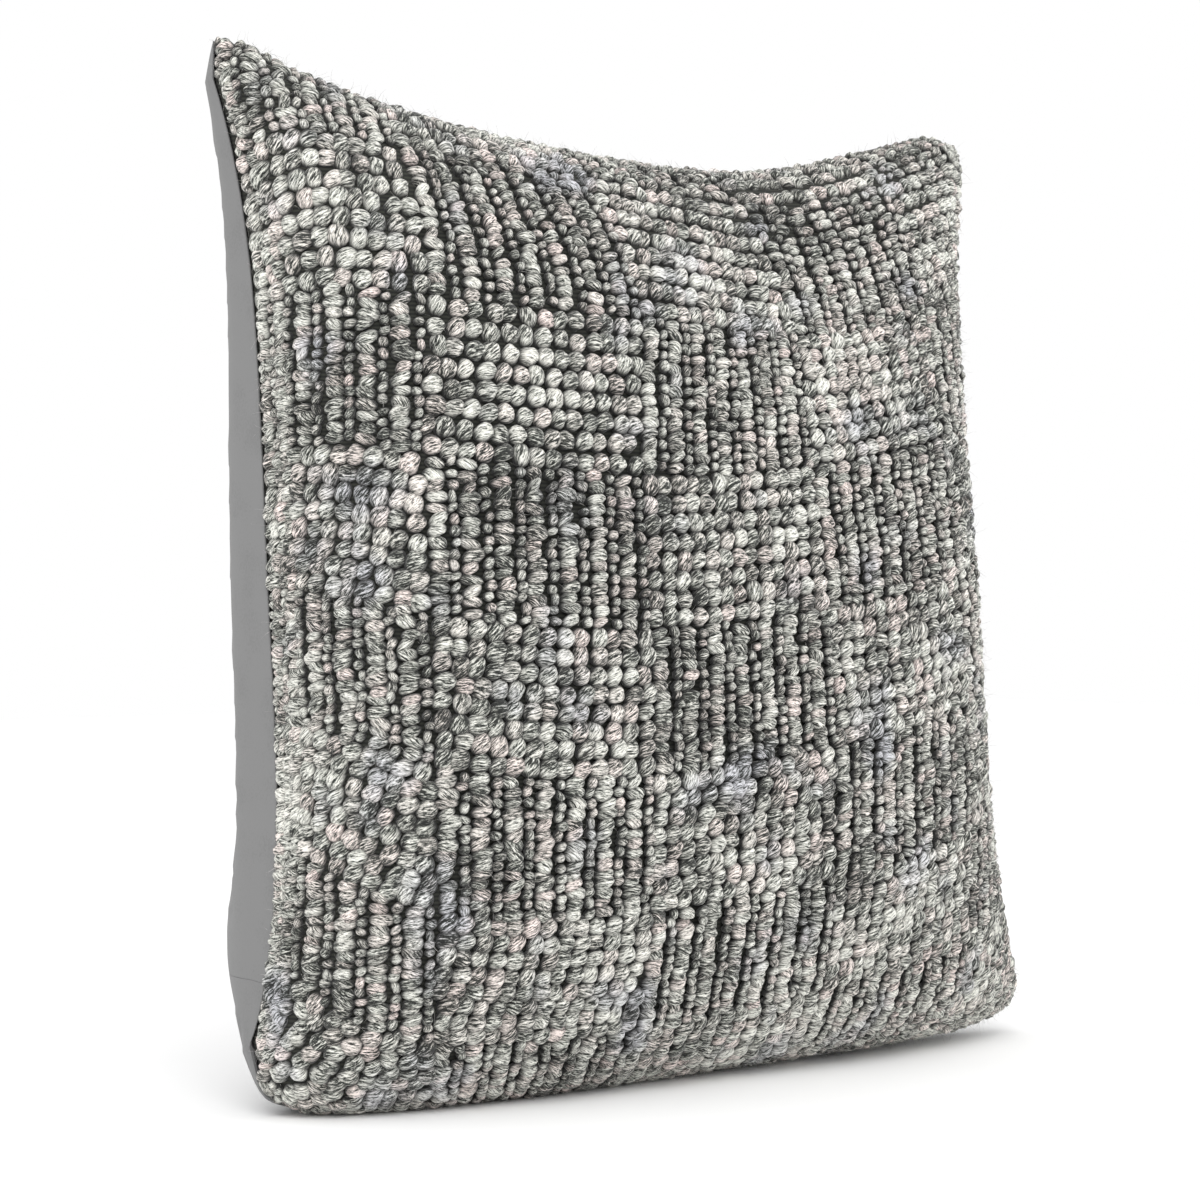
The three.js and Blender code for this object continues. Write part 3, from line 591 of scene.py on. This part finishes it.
# The pile is made up as patches, one per stretch of the panel, so that no piece is too heavy.
PATCHES = 5
patch_column = np.minimum(((a / CUT + 0.5) * PATCHES).astype(int), PATCHES - 1)
patch_row = np.minimum((b / CUT * PATCHES).astype(int), PATCHES - 1)
patch_of = patch_column * PATCHES + patch_row
for patch in range(PATCHES * PATCHES):
    mine = np.flatnonzero(patch_of == patch)
    faces = (triangles[None] + (np.arange(len(mine)) * per_loop)[:, None, None]).reshape(-1, 3)
    piece = new_mesh(f"loop_pile_{patch + 1:02d}", loop_points[mine].reshape(-1, 3), faces)
    streak_values = piece.data.attributes.new("streak", "FLOAT_VECTOR", "POINT").data
    streak_values.foreach_set("vector", streak[mine].astype(np.float32).ravel())
    rise_values = piece.data.attributes.new("rise", "FLOAT", "POINT").data
    rise_values.foreach_set("value", shade_height[mine].astype(np.float32).ravel())
    piece.data.materials.append(wool)
    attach(piece, "cover")
    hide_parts("loop_pile")


# ---- Stray fibres ----
# Fine wool hairs work loose from the yarn and stand off the loops as a faint fuzz, seen mostly along the
# outline. Nothing holds them but the twist of the plies.

HAIRS = 8000
HAIR_POINTS = 5
HAIR_RADIUS = 0.07
SPREAD = 2.2  # how far from the middle of its loop a hair starts
from_loop = rng.integers(0, loops, HAIRS)
root = centre[from_loop] + normal[from_loop] * heights[from_loop, None] * 0.42
root = root + rng.normal(0, SPREAD, (HAIRS, 1)) * across[from_loop]
root = root + rng.normal(0, SPREAD, (HAIRS, 1)) * up[from_loop]
lean_way = rng.normal(0, 1, (HAIRS, 3))
start_way = unit(normal[from_loop] * 0.7 + 0.9 * lean_way)
bend_way = unit(rng.normal(0, 1, (HAIRS, 3)))
hair_length = rng.uniform(2.0, 6.0, (HAIRS, 1, 1))
t_hair = np.linspace(0, 1, HAIR_POINTS)[None, :, None]
line = root[:, None] + hair_length * (t_hair * start_way[:, None] + 0.55 * t_hair**2 * bend_way[:, None])
line[..., 2] = np.maximum(line[..., 2], 0.1)
across_hair = unit(np.cross(start_way, bend_way))[:, None]
other_way = unit(np.cross(start_way[:, None], across_hair))
girths = HAIR_RADIUS * (1 - 0.75 * t_hair)
hair_sides = [(1.0, 0.0), (-0.5, 0.866), (-0.5, -0.866)]
hair_points = np.stack([line + girths * (one * across_hair + two * other_way) for one, two in hair_sides], 2)
strand_faces = []
for ring in range(HAIR_POINTS - 1):
    for m in range(3):
        n = (m + 1) % 3
        strand_faces.append([ring * 3 + m, ring * 3 + n, ring * 3 + 3 + n, ring * 3 + 3 + m])
strand_faces = np.array(strand_faces)
hair_faces = (strand_faces[None] + (np.arange(HAIRS) * HAIR_POINTS * 3)[:, None, None]).reshape(-1, 4)
fuzz = new_mesh("stray_fibres", hair_points.reshape(-1, 3), hair_faces)
# Loose wool hair: pale and mid grey, thin enough that light passes round it.
HAIR_GRAIN = 8.33
hair_wool, tree, shader = new_material("loose wool hair", 0.8)
place = add(tree, "ShaderNodeTexCoord")
mixed = add(tree, "ShaderNodeTexNoise", {"Vector": place.outputs["Object"]},
            {"Scale": per_grain(HAIR_GRAIN), "Detail": 1.0})
coloured_between(tree, shader, mixed.outputs["Fac"], "#6d6e6b", "#cfccc8", 0.4, 0.6)
fuzz.data.materials.append(hair_wool)
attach(fuzz, "cover")


# ---- Back cloth ----
# The back is a plain grey cotton-polyester weave in two pieces, a deep one over the zip and a shallow one
# under it, each folded in along the opening. At the sides it rolls a little way round onto the front.

BACK_FLAT = 1.2  # how far the flat middle of the back lies inside the dome's deepest point
ZIP_Z = 62  # height of the shut teeth
ZIP_HALF = 172
ZIP_END = 6  # past each end of the zip the two folds close up over this length
ZIP_RADIUS = 1144.346  # the zip bows with the back round an upright axis, and its band leans as it rises
ZIP_AXIS_Y = -1067.0975
ZIP_SLOPE = 0.34
ZIP_GAP = 5.7  # half the height between the two folds over the teeth
BACK_SIDE_POWER = 0.42
ROLL_COLUMNS = 5


def zip_band(x, z):
    """How far back the sloped band of the zip lies at x and z."""
    return ZIP_AXIS_Y + np.sqrt((ZIP_RADIUS + ZIP_SLOPE * (z - ZIP_Z)) ** 2 - x**2)


def back_point(u, s, inset=1.0, loss=0.0, off=CLEAR, foot=0.0, sink=0.0):
    """A point of the back at u and s, settled onto the zip's band and sunk below it by sink."""
    u, s = np.broadcast_arrays(np.asarray(u, float), np.asarray(s, float))
    sideways, curl = corner_move(u, s)
    low = bottom_edge(u) + inset + curl
    high = top_edge(u) - inset
    x = u * (half_width(s) - inset) + sideways
    z = np.maximum(low + (high - low) * s, foot)
    hollow = 1 - 0.6 * np.abs(u) ** 4 * (1 - smooth(s / TUCK_HEIGHT))
    bulge = off + (BACK_DEPTH - loss) * fullness(u, s, BACK_SIDE_POWER) * hollow
    flat_y = SEAM_Y + BACK_DEPTH - BACK_FLAT - LEAN * 0.06 + off - loss
    under = flat_y - SEAM_Y - LEAN * (s - 0.5) - bulge
    dome = flat_y - (np.sqrt(under**2 + 4) + under) / 2
    near = (1 - smooth((np.abs(z - ZIP_Z) - 18) / 24)) * (1 - smooth((np.abs(x) - ZIP_HALF - ZIP_END) / 46))
    weight = near * smooth(bulge / 20)
    return np.stack([x, dome * (1 - weight) + (zip_band(x, z) - sink) * weight, z], -1)


def fold_share(u, lower):
    """The share of the height at which the cloth folds in along the zip."""
    low = bottom_edge(u) + 1
    high = top_edge(u) - 1
    x = np.abs(u) * half_width(0.13)
    apart = CLEAR + (ZIP_GAP - CLEAR) * (1 - smooth((x - ZIP_HALF) / ZIP_END))
    return (ZIP_Z + (-apart if lower else apart) - low) / (high - low)


def rolled(points, front_inset, front_loss, s_grid):
    """The grid with columns added at both sides, where the cloth rolls round the seam onto the front."""
    shares = np.linspace(1, 0, ROLL_COLUMNS + 1)[:-1, None] * turned_over(s_grid[0])[None] / CUT
    s_side = np.broadcast_to(s_grid[0], shares.shape)
    left = front_point(look_up(u_of_share, shares, s_side), s_side, front_inset, front_loss)
    right = front_point(look_up(u_of_share, 1 - shares, s_side), s_side, front_inset, front_loss)[::-1]
    return np.concatenate([left, points, right])


PRESSURE = 4
SLACK = 0.012  # the share by which the cloth is larger than the shape it starts from
STEPS = 20


def pressed_out(name, points, pinned, most):
    """How far each point of a grid moves, in mm, when air fills the cloth held at its pinned points."""
    columns, rows = points.shape[:2]
    cloth = new_mesh(name, points.reshape(-1, 3), grid_faces(columns, rows, 0, True))
    held = cloth.vertex_groups.new(name="held")
    held.add([int(n) for n in np.flatnonzero(pinned.ravel())], 1.0, "REPLACE")
    modifier = cloth.modifiers.new("cloth", "CLOTH")
    settings = modifier.settings
    settings.quality = 5
    settings.use_pressure = True
    settings.uniform_pressure_force = PRESSURE
    settings.vertex_group_mass = "held"
    settings.shrink_min = -SLACK
    settings.effector_weights.gravity = 0
    settings.bending_stiffness = 0.4
    scene = bpy.context.scene
    for step in range(1, STEPS + 1):
        scene.frame_set(step)
    moved = cloth.evaluated_get(bpy.context.evaluated_depsgraph_get()).data
    after = np.empty(len(moved.vertices) * 3, np.float32)
    moved.vertices.foreach_get("co", after)
    scene.frame_set(1)
    bpy.data.objects.remove(cloth)
    move = after.reshape(points.shape) / MM - points
    far = np.linalg.norm(move, axis=-1, keepdims=True)
    return move * np.minimum(1, most / np.maximum(far, 1e-6))


FOLD_DEPTH = 2.0
PUCKER_DEPTH = 0.7
# The folds at each corner of the back: its u and s, how many fan out of it, and where the fan starts.
CORNER_FANS = ((-1, 0, 7, 0.4), (1, 0, 6, 1.9), (-1, 1, 8, 2.7), (1, 1, 7, 0.9))


def drag_lines(u, s):
    """Shallow folds that fan out of the corners, and puckers along the side seams, in mm out of the back."""
    total = np.zeros_like(u)
    for corner_u, corner_s, count, start in CORNER_FANS:
        across = (u - corner_u) * WIDTH / 2
        up = (s - corner_s) * HEIGHT
        away = np.hypot(across, up)
        fan = np.cos(count * np.arctan2(np.abs(up), np.abs(across)) + start + 0.006 * away)
        total += FOLD_DEPTH * fan * smooth((away - 12) / 50) * (1 - smooth((away - 70) / 120))
    from_side = (1 - np.abs(u)) * WIDTH / 2
    puckers = np.cos(s * HEIGHT / 2.6 + 1.7 * np.sin(s * 31)) * (0.6 + 0.4 * np.sin(s * 47))
    total += PUCKER_DEPTH * puckers * smooth(from_side / 5) * np.exp(-from_side / 11)
    return total * (1 - smooth((np.abs(u) - 0.97) / 0.03)) * smooth((s - 0.17) / 0.06)


# Plain-woven grey cloth: even, matt and slightly slubby, with a weave too fine to see from across a room. It
# is drawn coarser than such thread really lies, so that it shows close up.
WEAVE = 1.11
SLUB = 22.2
grey, tree, shader = new_material("plain grey woven cloth", 0.85, Sheen_Weight=0.1)
place = add(tree, "ShaderNodeTexCoord")
weave = add(tree, "ShaderNodeTexNoise", {"Vector": place.outputs["Object"]},
            {"Scale": per_grain(WEAVE), "Detail": 2.0})
slubs = add(tree, "ShaderNodeTexNoise", {"Vector": place.outputs["Object"]},
            {"Scale": per_grain(SLUB), "Detail": 1.0})
amount = add(tree, "ShaderNodeMath", {0: weave.outputs["Fac"], 1: slubs.outputs["Fac"]}, operation="ADD")
coloured_between(tree, shader, amount.outputs[0], "#747474", "#7b7b7b", 0.7, 1.0)
threads = add(tree, "ShaderNodeBump", {"Height": weave.outputs["Fac"]},
              {"Strength": 0.2, "Distance": 0.2 * MM})
tree.links.new(threads.outputs["Normal"], shader.inputs["Normal"])

# Each cloth: its name, whether it lies under the zip, its lines of points, its flat size in metres, and the
# most that the air may move it.
back_cloths = (("back_upper", False, 78, (0.53, 0.46), 4.0), ("back_lower", True, 24, (0.53, 0.09), 2.0))
for name, lower, rows, flat, most in back_cloths:
    fold = fold_share(u_lines, lower)[:, None]
    shares = eased(rows)[None]
    s_grid = shares * fold if lower else fold + (1 - fold) * shares
    u_grid = np.broadcast_to(u_lines[:, None], s_grid.shape)
    outer = back_point(u_grid, s_grid)
    inner = back_point(u_grid, s_grid, inset=3.0, loss=2.0, off=CLEAR + 1.0, foot=1.0, sink=1.0)
    creases = drag_lines(u_grid, s_grid)
    outer[..., 1] += creases
    inner[..., 1] += creases
    slack = np.minimum(1 - np.abs(u_grid), np.abs(1 - shares if lower else shares) * 2)
    edge = (slack < 0.02) | (shares < 0.004) | (shares > 0.996)
    zip_side = shares > 0.7 if lower else shares < 0.06
    move = pressed_out(name + "_cloth", outer, edge | zip_side, most)
    outer = outer + move
    inner = inner + move
    outer[..., 1] = np.minimum(outer[..., 1], SEAM_Y + BACK_DEPTH + 4)
    outer[..., 2] = np.maximum(outer[..., 2], 0)
    inner[..., 2] = np.maximum(inner[..., 2], 1)
    piece = shell(name, rolled(outer, 0.6, 1.0, s_grid), rolled(inner, 1.7, 2.4, s_grid), flipped=True)
    piece.data.materials.append(grey)
    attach(piece, "cover")
    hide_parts("back_panel_lower" if lower else "back_panel_upper")


# ---- Insert ----
# A square cushion of bleached cotton ticking, blown full of polyester fibre and closed with one lockstitched
# seam all round. It fills the cover and is seen only when the zip is open.

INSERT_INSET = 19.5
TICKING_GRAIN = 4.55
fine_u, fine_s = np.meshgrid(2 * eased(48) - 1, eased(48), indexing="ij")
insert_front = front_point(fine_u, fine_s, inset=INSERT_INSET, loss=8.3)
insert_back = back_point(fine_u, fine_s, inset=INSERT_INSET, loss=6.5, foot=3.0, sink=7.5)
insert = shell("insert", insert_front, insert_back)
ticking, tree, shader = new_material("bleached cotton ticking", 0.9)
place = add(tree, "ShaderNodeTexCoord")
mottle = add(tree, "ShaderNodeTexNoise", {"Vector": place.outputs["Object"]},
             {"Scale": per_grain(TICKING_GRAIN), "Detail": 3.0})
coloured_between(tree, shader, mottle.outputs["Fac"], "#e2e0d9", "#f3f1ea")
insert.data.materials.append(ticking)
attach(insert, "cover")
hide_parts("insert_shell_front", "insert_shell_back", "insert_filling")


# ---- Seam thread ----
# Inside the cover the two cloths are overlocked together with spun polyester thread, whose loops wrap the raw
# edges all round, a centimetre or so in from the seam. The insert's own seam is a plain one.

OVERLOCK_INSET = 11.6
EDGE_POINTS = 59  # along each side of the cover
LOOP_POINTS = 1400  # along the whole overlock thread, a few to each of its loops
OVERLOCK_THICK = 0.55  # half its thickness between two loops, and how much each loop adds
OVERLOCK_LOOP = 0.3
INSERT_THREAD = 0.35  # half the thickness of the insert's seam thread
along_side = eased(EDGE_POINTS + 1)[:-1]
zeros = np.zeros(EDGE_POINTS)
edge_u = np.concatenate([2 * along_side - 1, zeros + 1, 1 - 2 * along_side, zeros - 1])
edge_s = np.concatenate([zeros, along_side, zeros + 1, 1 - along_side])


def tube(name, path, radius, sides=8, closed=True):
    """A closed tube along points in mm. The radius is one number, or one for each point."""
    path = np.asarray(path, float)
    ahead = np.roll(path, -1, 0) - np.roll(path, 1, 0) if closed else np.gradient(path, axis=0)
    along = unit(ahead)
    start = unit(np.cross(along, [0.03, 1.0, 0.05]))
    other = np.cross(along, start)
    turn = np.linspace(0, 2 * math.pi, sides, endpoint=False)
    radius = np.broadcast_to(radius, len(path))[:, None, None]
    first = np.cos(turn)[None, :, None] * start[:, None]
    second = np.sin(turn)[None, :, None] * other[:, None]
    rings = path[:, None] + radius * (first + second)
    count = len(path)
    i, m = np.meshgrid(np.arange(count if closed else count - 1), np.arange(sides), indexing="ij")
    ring, next_ring = i * sides, (i + 1) % count * sides
    beside = (m + 1) % sides
    faces = np.stack([ring + m, next_ring + m, next_ring + beside, ring + beside], -1)
    made = new_mesh(name, rings.reshape(-1, 3), faces.reshape(-1, 4))
    if not closed:
        solid = bmesh.new()
        solid.from_mesh(made.data)
        bmesh.ops.holes_fill(solid, edges=solid.edges)
        solid.to_mesh(made.data)
        solid.free()
    return made


seam_path = front_point(edge_u, edge_s, inset=OVERLOCK_INSET)
seam_path[:, 1] = SEAM_Y + LEAN * (edge_s - 0.5)
stretch = np.linspace(0, 1, LOOP_POINTS, endpoint=False) * len(seam_path)
first = stretch.astype(int)
between = (stretch - first)[:, None]
seam_path = seam_path[first] * (1 - between) + seam_path[(first + 1) % len(seam_path)] * between
looped = np.abs(np.sin(np.arange(LOOP_POINTS) * 1.1))
overlock = tube("seam_overlock_thread", seam_path, OVERLOCK_THICK + OVERLOCK_LOOP * looped)

# Spun polyester thread: dull mid grey with a little sheen on each twist.
THREAD_TWIST = 1.43
thread, tree, shader = new_material("grey spun polyester thread", 0.6, Sheen_Weight=0.2)
place = add(tree, "ShaderNodeTexCoord")
twists = add(tree, "ShaderNodeTexNoise", {"Vector": place.outputs["Object"]},
             {"Scale": per_grain(THREAD_TWIST), "Detail": 1.0})
coloured_between(tree, shader, twists.outputs["Fac"], "#5c5c5c", "#8e8e8e")
overlock.data.materials.append(thread)
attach(overlock, "cover")
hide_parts("seam_overlock")

insert_path = front_point(edge_u, edge_s, inset=INSERT_INSET)
insert_path[:, 1] = SEAM_Y + LEAN * (edge_s - 0.5)
insert_seam = tube("insert_seam_thread", insert_path, INSERT_THREAD)
# Undyed cotton thread, off-white and dull.
COTTON_TWIST = 1.67
cotton, tree, shader = new_material("undyed cotton thread", 0.8)
place = add(tree, "ShaderNodeTexCoord")
twists = add(tree, "ShaderNodeTexNoise", {"Vector": place.outputs["Object"]},
             {"Scale": per_grain(COTTON_TWIST), "Detail": 1.0})
coloured_between(tree, shader, twists.outputs["Fac"], "#cfccc2", "#e6e3da")
insert_seam.data.materials.append(cotton)
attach(insert_seam, "cover")
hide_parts("insert_edge_seam")


# ---- Zip topstitching ----
# One straight row of lockstitch holds each folded edge to its tape: short raised stitches with the thread
# diving through the cloth between them.

STITCH_PITCH = 3.0
STITCH_OFF_FOLD = 4.0
STITCH_RADIUS = 0.3
SLOPE_ANGLE = math.atan(ZIP_SLOPE)
stitch_along = np.array([-1.15, -1.0, -0.5, 0.0, 0.5, 1.0, 1.15])
stitch_height = np.array([-0.5, 0.05, 0.3, 0.36, 0.3, 0.05, -0.5])
row_end = ZIP_HALF - 2
middles = np.arange(-row_end, row_end, STITCH_PITCH)
for which, way in (("upper", 1), ("lower", -1)):
    x = (middles[:, None] + stitch_along[None]).ravel()
    z = np.full_like(x, ZIP_Z + way * (ZIP_GAP + STITCH_OFF_FOLD))
    raised = np.tile(stitch_height, len(middles))
    y = zip_band(x, z) + CLEAR + raised * math.cos(SLOPE_ANGLE)
    path = np.stack([x, y, z - raised * math.sin(SLOPE_ANGLE)], -1)
    row = tube("zip_stitching_" + which, path, STITCH_RADIUS, sides=6, closed=False)
    row.data.materials.append(thread)
    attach(row, "cover")
    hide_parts("zip_topstitch_" + which)


# ---- Zip tapes ----
# Two woven polyester tapes, herringbone and stiff, dyed to the grey of the back. Each carries one row of
# teeth along its inner edge and is sewn under its fold.

# Woven polyester: flat grey, crossed by the slanting ribs of its weave.
TAPE_RIB = 1.75
tape, tree, shader = new_material("grey woven polyester tape", 0.7)
place = add(tree, "ShaderNodeTexCoord")
ribs = add(tree, "ShaderNodeTexWave", {"Vector": place.outputs["Object"]},
           {"Scale": per_band(TAPE_RIB), "Distortion": 2.0}, bands_direction="DIAGONAL")
coloured_between(tree, shader, ribs.outputs["Fac"], "#666666", "#787878")
for node in ("zip_tape_upper", "zip_tape_lower"):
    piece = frame["nodes"][node]
    piece.data.materials.clear()
    piece.data.materials.append(tape)


# ---- Zip teeth ----
# Two rows of acetal teeth, moulded straight onto the tapes' edges so that each row meshes with the other.

# Moulded acetal: grey and slightly shiny, with cloudy paler places where it has worn.
WORN_PLACE = 3.85
acetal, tree, shader = new_material("grey moulded acetal", 0.35)
place = add(tree, "ShaderNodeTexCoord")
wear = add(tree, "ShaderNodeTexNoise", {"Vector": place.outputs["Object"]},
           {"Scale": per_grain(WORN_PLACE), "Detail": 2.0})
coloured_between(tree, shader, wear.outputs["Fac"], "#5f6062", "#7c7d7f")
for node in ("zip_teeth_upper", "zip_teeth_lower"):
    piece = frame["nodes"][node]
    piece.data.materials.clear()
    piece.data.materials.append(acetal)


# ---- Zip slider, pull and stops ----
# Die-cast zinc, nickel plated and tumbled, so that every edge is rounded over. The stops are clamped onto the
# tapes past the last teeth, and the pull hangs on a pin under the slider's bridge.

EDGE_ROUNDING = 0.12
SHARP_ANGLE = 0.6  # radians: flatter edges than this are left as they are
# Brushed nickel plate: a warm silver whose shine is broken up by fine random scuffs.
SCUFF = 2.0
nickel, tree, shader = new_material("brushed nickel plate", 0.32, "#b9b8b4", Metallic=1.0)
place = add(tree, "ShaderNodeTexCoord")
scuffs = add(tree, "ShaderNodeTexNoise", {"Vector": place.outputs["Object"]},
             {"Scale": per_grain(SCUFF), "Detail": 4.0})
dull = add(tree, "ShaderNodeMapRange", {"Value": scuffs.outputs["Fac"]}, {"To Min": 0.22, "To Max": 0.46})
tree.links.new(dull.outputs[0], shader.inputs["Roughness"])
for node, body in (("zip_slider", "slider"), ("zip_pull", "pull"), ("zip_bottom_stop", "cover"),
                   ("zip_top_stop_upper", "cover"), ("zip_top_stop_lower", "cover")):
    cast = frame["nodes"][node].copy()
    cast.data = cast.data.copy()
    cast.name = node + "_cast"
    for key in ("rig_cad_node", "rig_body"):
        del cast[key]
    cast.parent = None
    bpy.context.scene.collection.objects.link(cast)
    solid = bmesh.new()
    solid.from_mesh(cast.data)
    bmesh.ops.remove_doubles(solid, verts=solid.verts, dist=1e-6)
    bmesh.ops.dissolve_limit(solid, angle_limit=0.02, verts=solid.verts, edges=solid.edges)
    sharp = [e for e in solid.edges if len(e.link_faces) == 2 and e.calc_face_angle() > SHARP_ANGLE]
    bmesh.ops.bevel(solid, geom=sharp, offset=EDGE_ROUNDING * MM, segments=2, profile=0.6,
                    affect="EDGES", clamp_overlap=True)
    solid.to_mesh(cast.data)
    solid.free()
    cast.data.materials.clear()
    cast.data.materials.append(nickel)
    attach(cast, body)
    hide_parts(node)


# ---- Care label ----
# A soft white satin label, 22 mm wide, caught in the bottom seam beside the zip. It lies inside the cover,
# between the lower back cloth and the insert. Its printing is left off.

LABEL_FOOT = 0.004  # shares of the height and of the half width between which it lies
LABEL_LENGTH = 0.085
LABEL_SIDES = (-0.82, -0.72)
label_rows = LABEL_LENGTH * eased(22) + LABEL_FOOT
label_u, label_s = np.meshgrid(np.linspace(*LABEL_SIDES, 8), label_rows, indexing="ij")
label_outer = back_point(label_u, label_s, inset=6.0, loss=3.2, off=1.15, foot=1.6, sink=2.0)
label_inner = back_point(label_u, label_s, inset=6.5, loss=3.8, off=0.85, foot=2.0, sink=2.4)
label = shell("care_label_cloth", label_outer, label_inner, flipped=True)
# Satin: white, and brighter along its lengthwise threads.
SATIN_FLOAT = 1.05
satin, tree, shader = new_material("white satin label", 0.5)
place = add(tree, "ShaderNodeTexCoord")
floats = add(tree, "ShaderNodeTexWave", {"Vector": place.outputs["Object"]},
             {"Scale": per_band(SATIN_FLOAT), "Distortion": 0.4}, bands_direction="X")
coloured_between(tree, shader, floats.outputs["Fac"], "#e3e3e1", "#efefed")
label.data.materials.append(satin)
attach(label, "cover")
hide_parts("care_label")


# ---- Floor, light and camera ----
# A plain white floor and even light from all round, with one large soft lamp up on the left.

bpy.ops.mesh.primitive_plane_add(size=8, location=(0, 0, -0.0005))
floor = bpy.context.object
floor.name = "floor"
# Matt white paint, which shows nothing but the pillow's own soft shadow.
paint = new_material("white studio floor", 0.9, "#ffffff")[0]
floor.data.materials.append(paint)

world = bpy.data.worlds.new("white surround")
bpy.context.scene.world = world
world.use_nodes = True
tree = world.node_tree
surround = tree.nodes["Background"]
surround.inputs["Color"].default_value = (1, 1, 1, 1)
surround.inputs["Strength"].default_value = 1.0
plain = add(tree, "ShaderNodeBackground", values={"Color": (1, 1, 1, 1), "Strength": 1.0})
rays = add(tree, "ShaderNodeLightPath")
pick = add(tree, "ShaderNodeMixShader",
           {0: rays.outputs["Is Camera Ray"], 1: surround.outputs[0], 2: plain.outputs[0]})
tree.links.new(pick.outputs[0], tree.nodes["World Output"].inputs["Surface"])

LIT_POINT = Vector((0, 0, 0.25))
softboxes = (("key softbox", (-1.3, -1.5, 1.9), 1.6, 26), ("fill softbox", (1.6, -1.4, 1.0), 1.8, 9))
for name, spot, size, power in softboxes:
    light = bpy.data.lights.new(name, "AREA")
    light.size = size
    light.energy = power
    lamp = bpy.data.objects.new(name, light)
    bpy.context.scene.collection.objects.link(lamp)
    lamp.location = spot
    lamp.rotation_mode = "QUATERNION"
    lamp.rotation_quaternion = (LIT_POINT - Vector(spot)).to_track_quat("-Z", "Y")

# The camera stands a little to the left, level with the pillow's middle, with a long lens.
CAMERA_AWAY = 1.7525
target = Vector((0, 0.0143, 0.2509))
towards = Vector((-0.6345, -0.7729, 0))
camera_data = bpy.data.cameras.new("camera")
camera_data.lens = 103.3
camera_data.shift_x = -0.0108
camera_data.shift_y = -0.02
camera = bpy.data.objects.new("camera", camera_data)
bpy.context.scene.collection.objects.link(camera)
camera.location = target + CAMERA_AWAY * towards
camera.rotation_mode = "QUATERNION"
camera.rotation_quaternion = (-towards).to_track_quat("-Z", "Y")
bpy.context.scene.camera = camera
bpy.context.scene.view_settings.view_transform = "Standard"
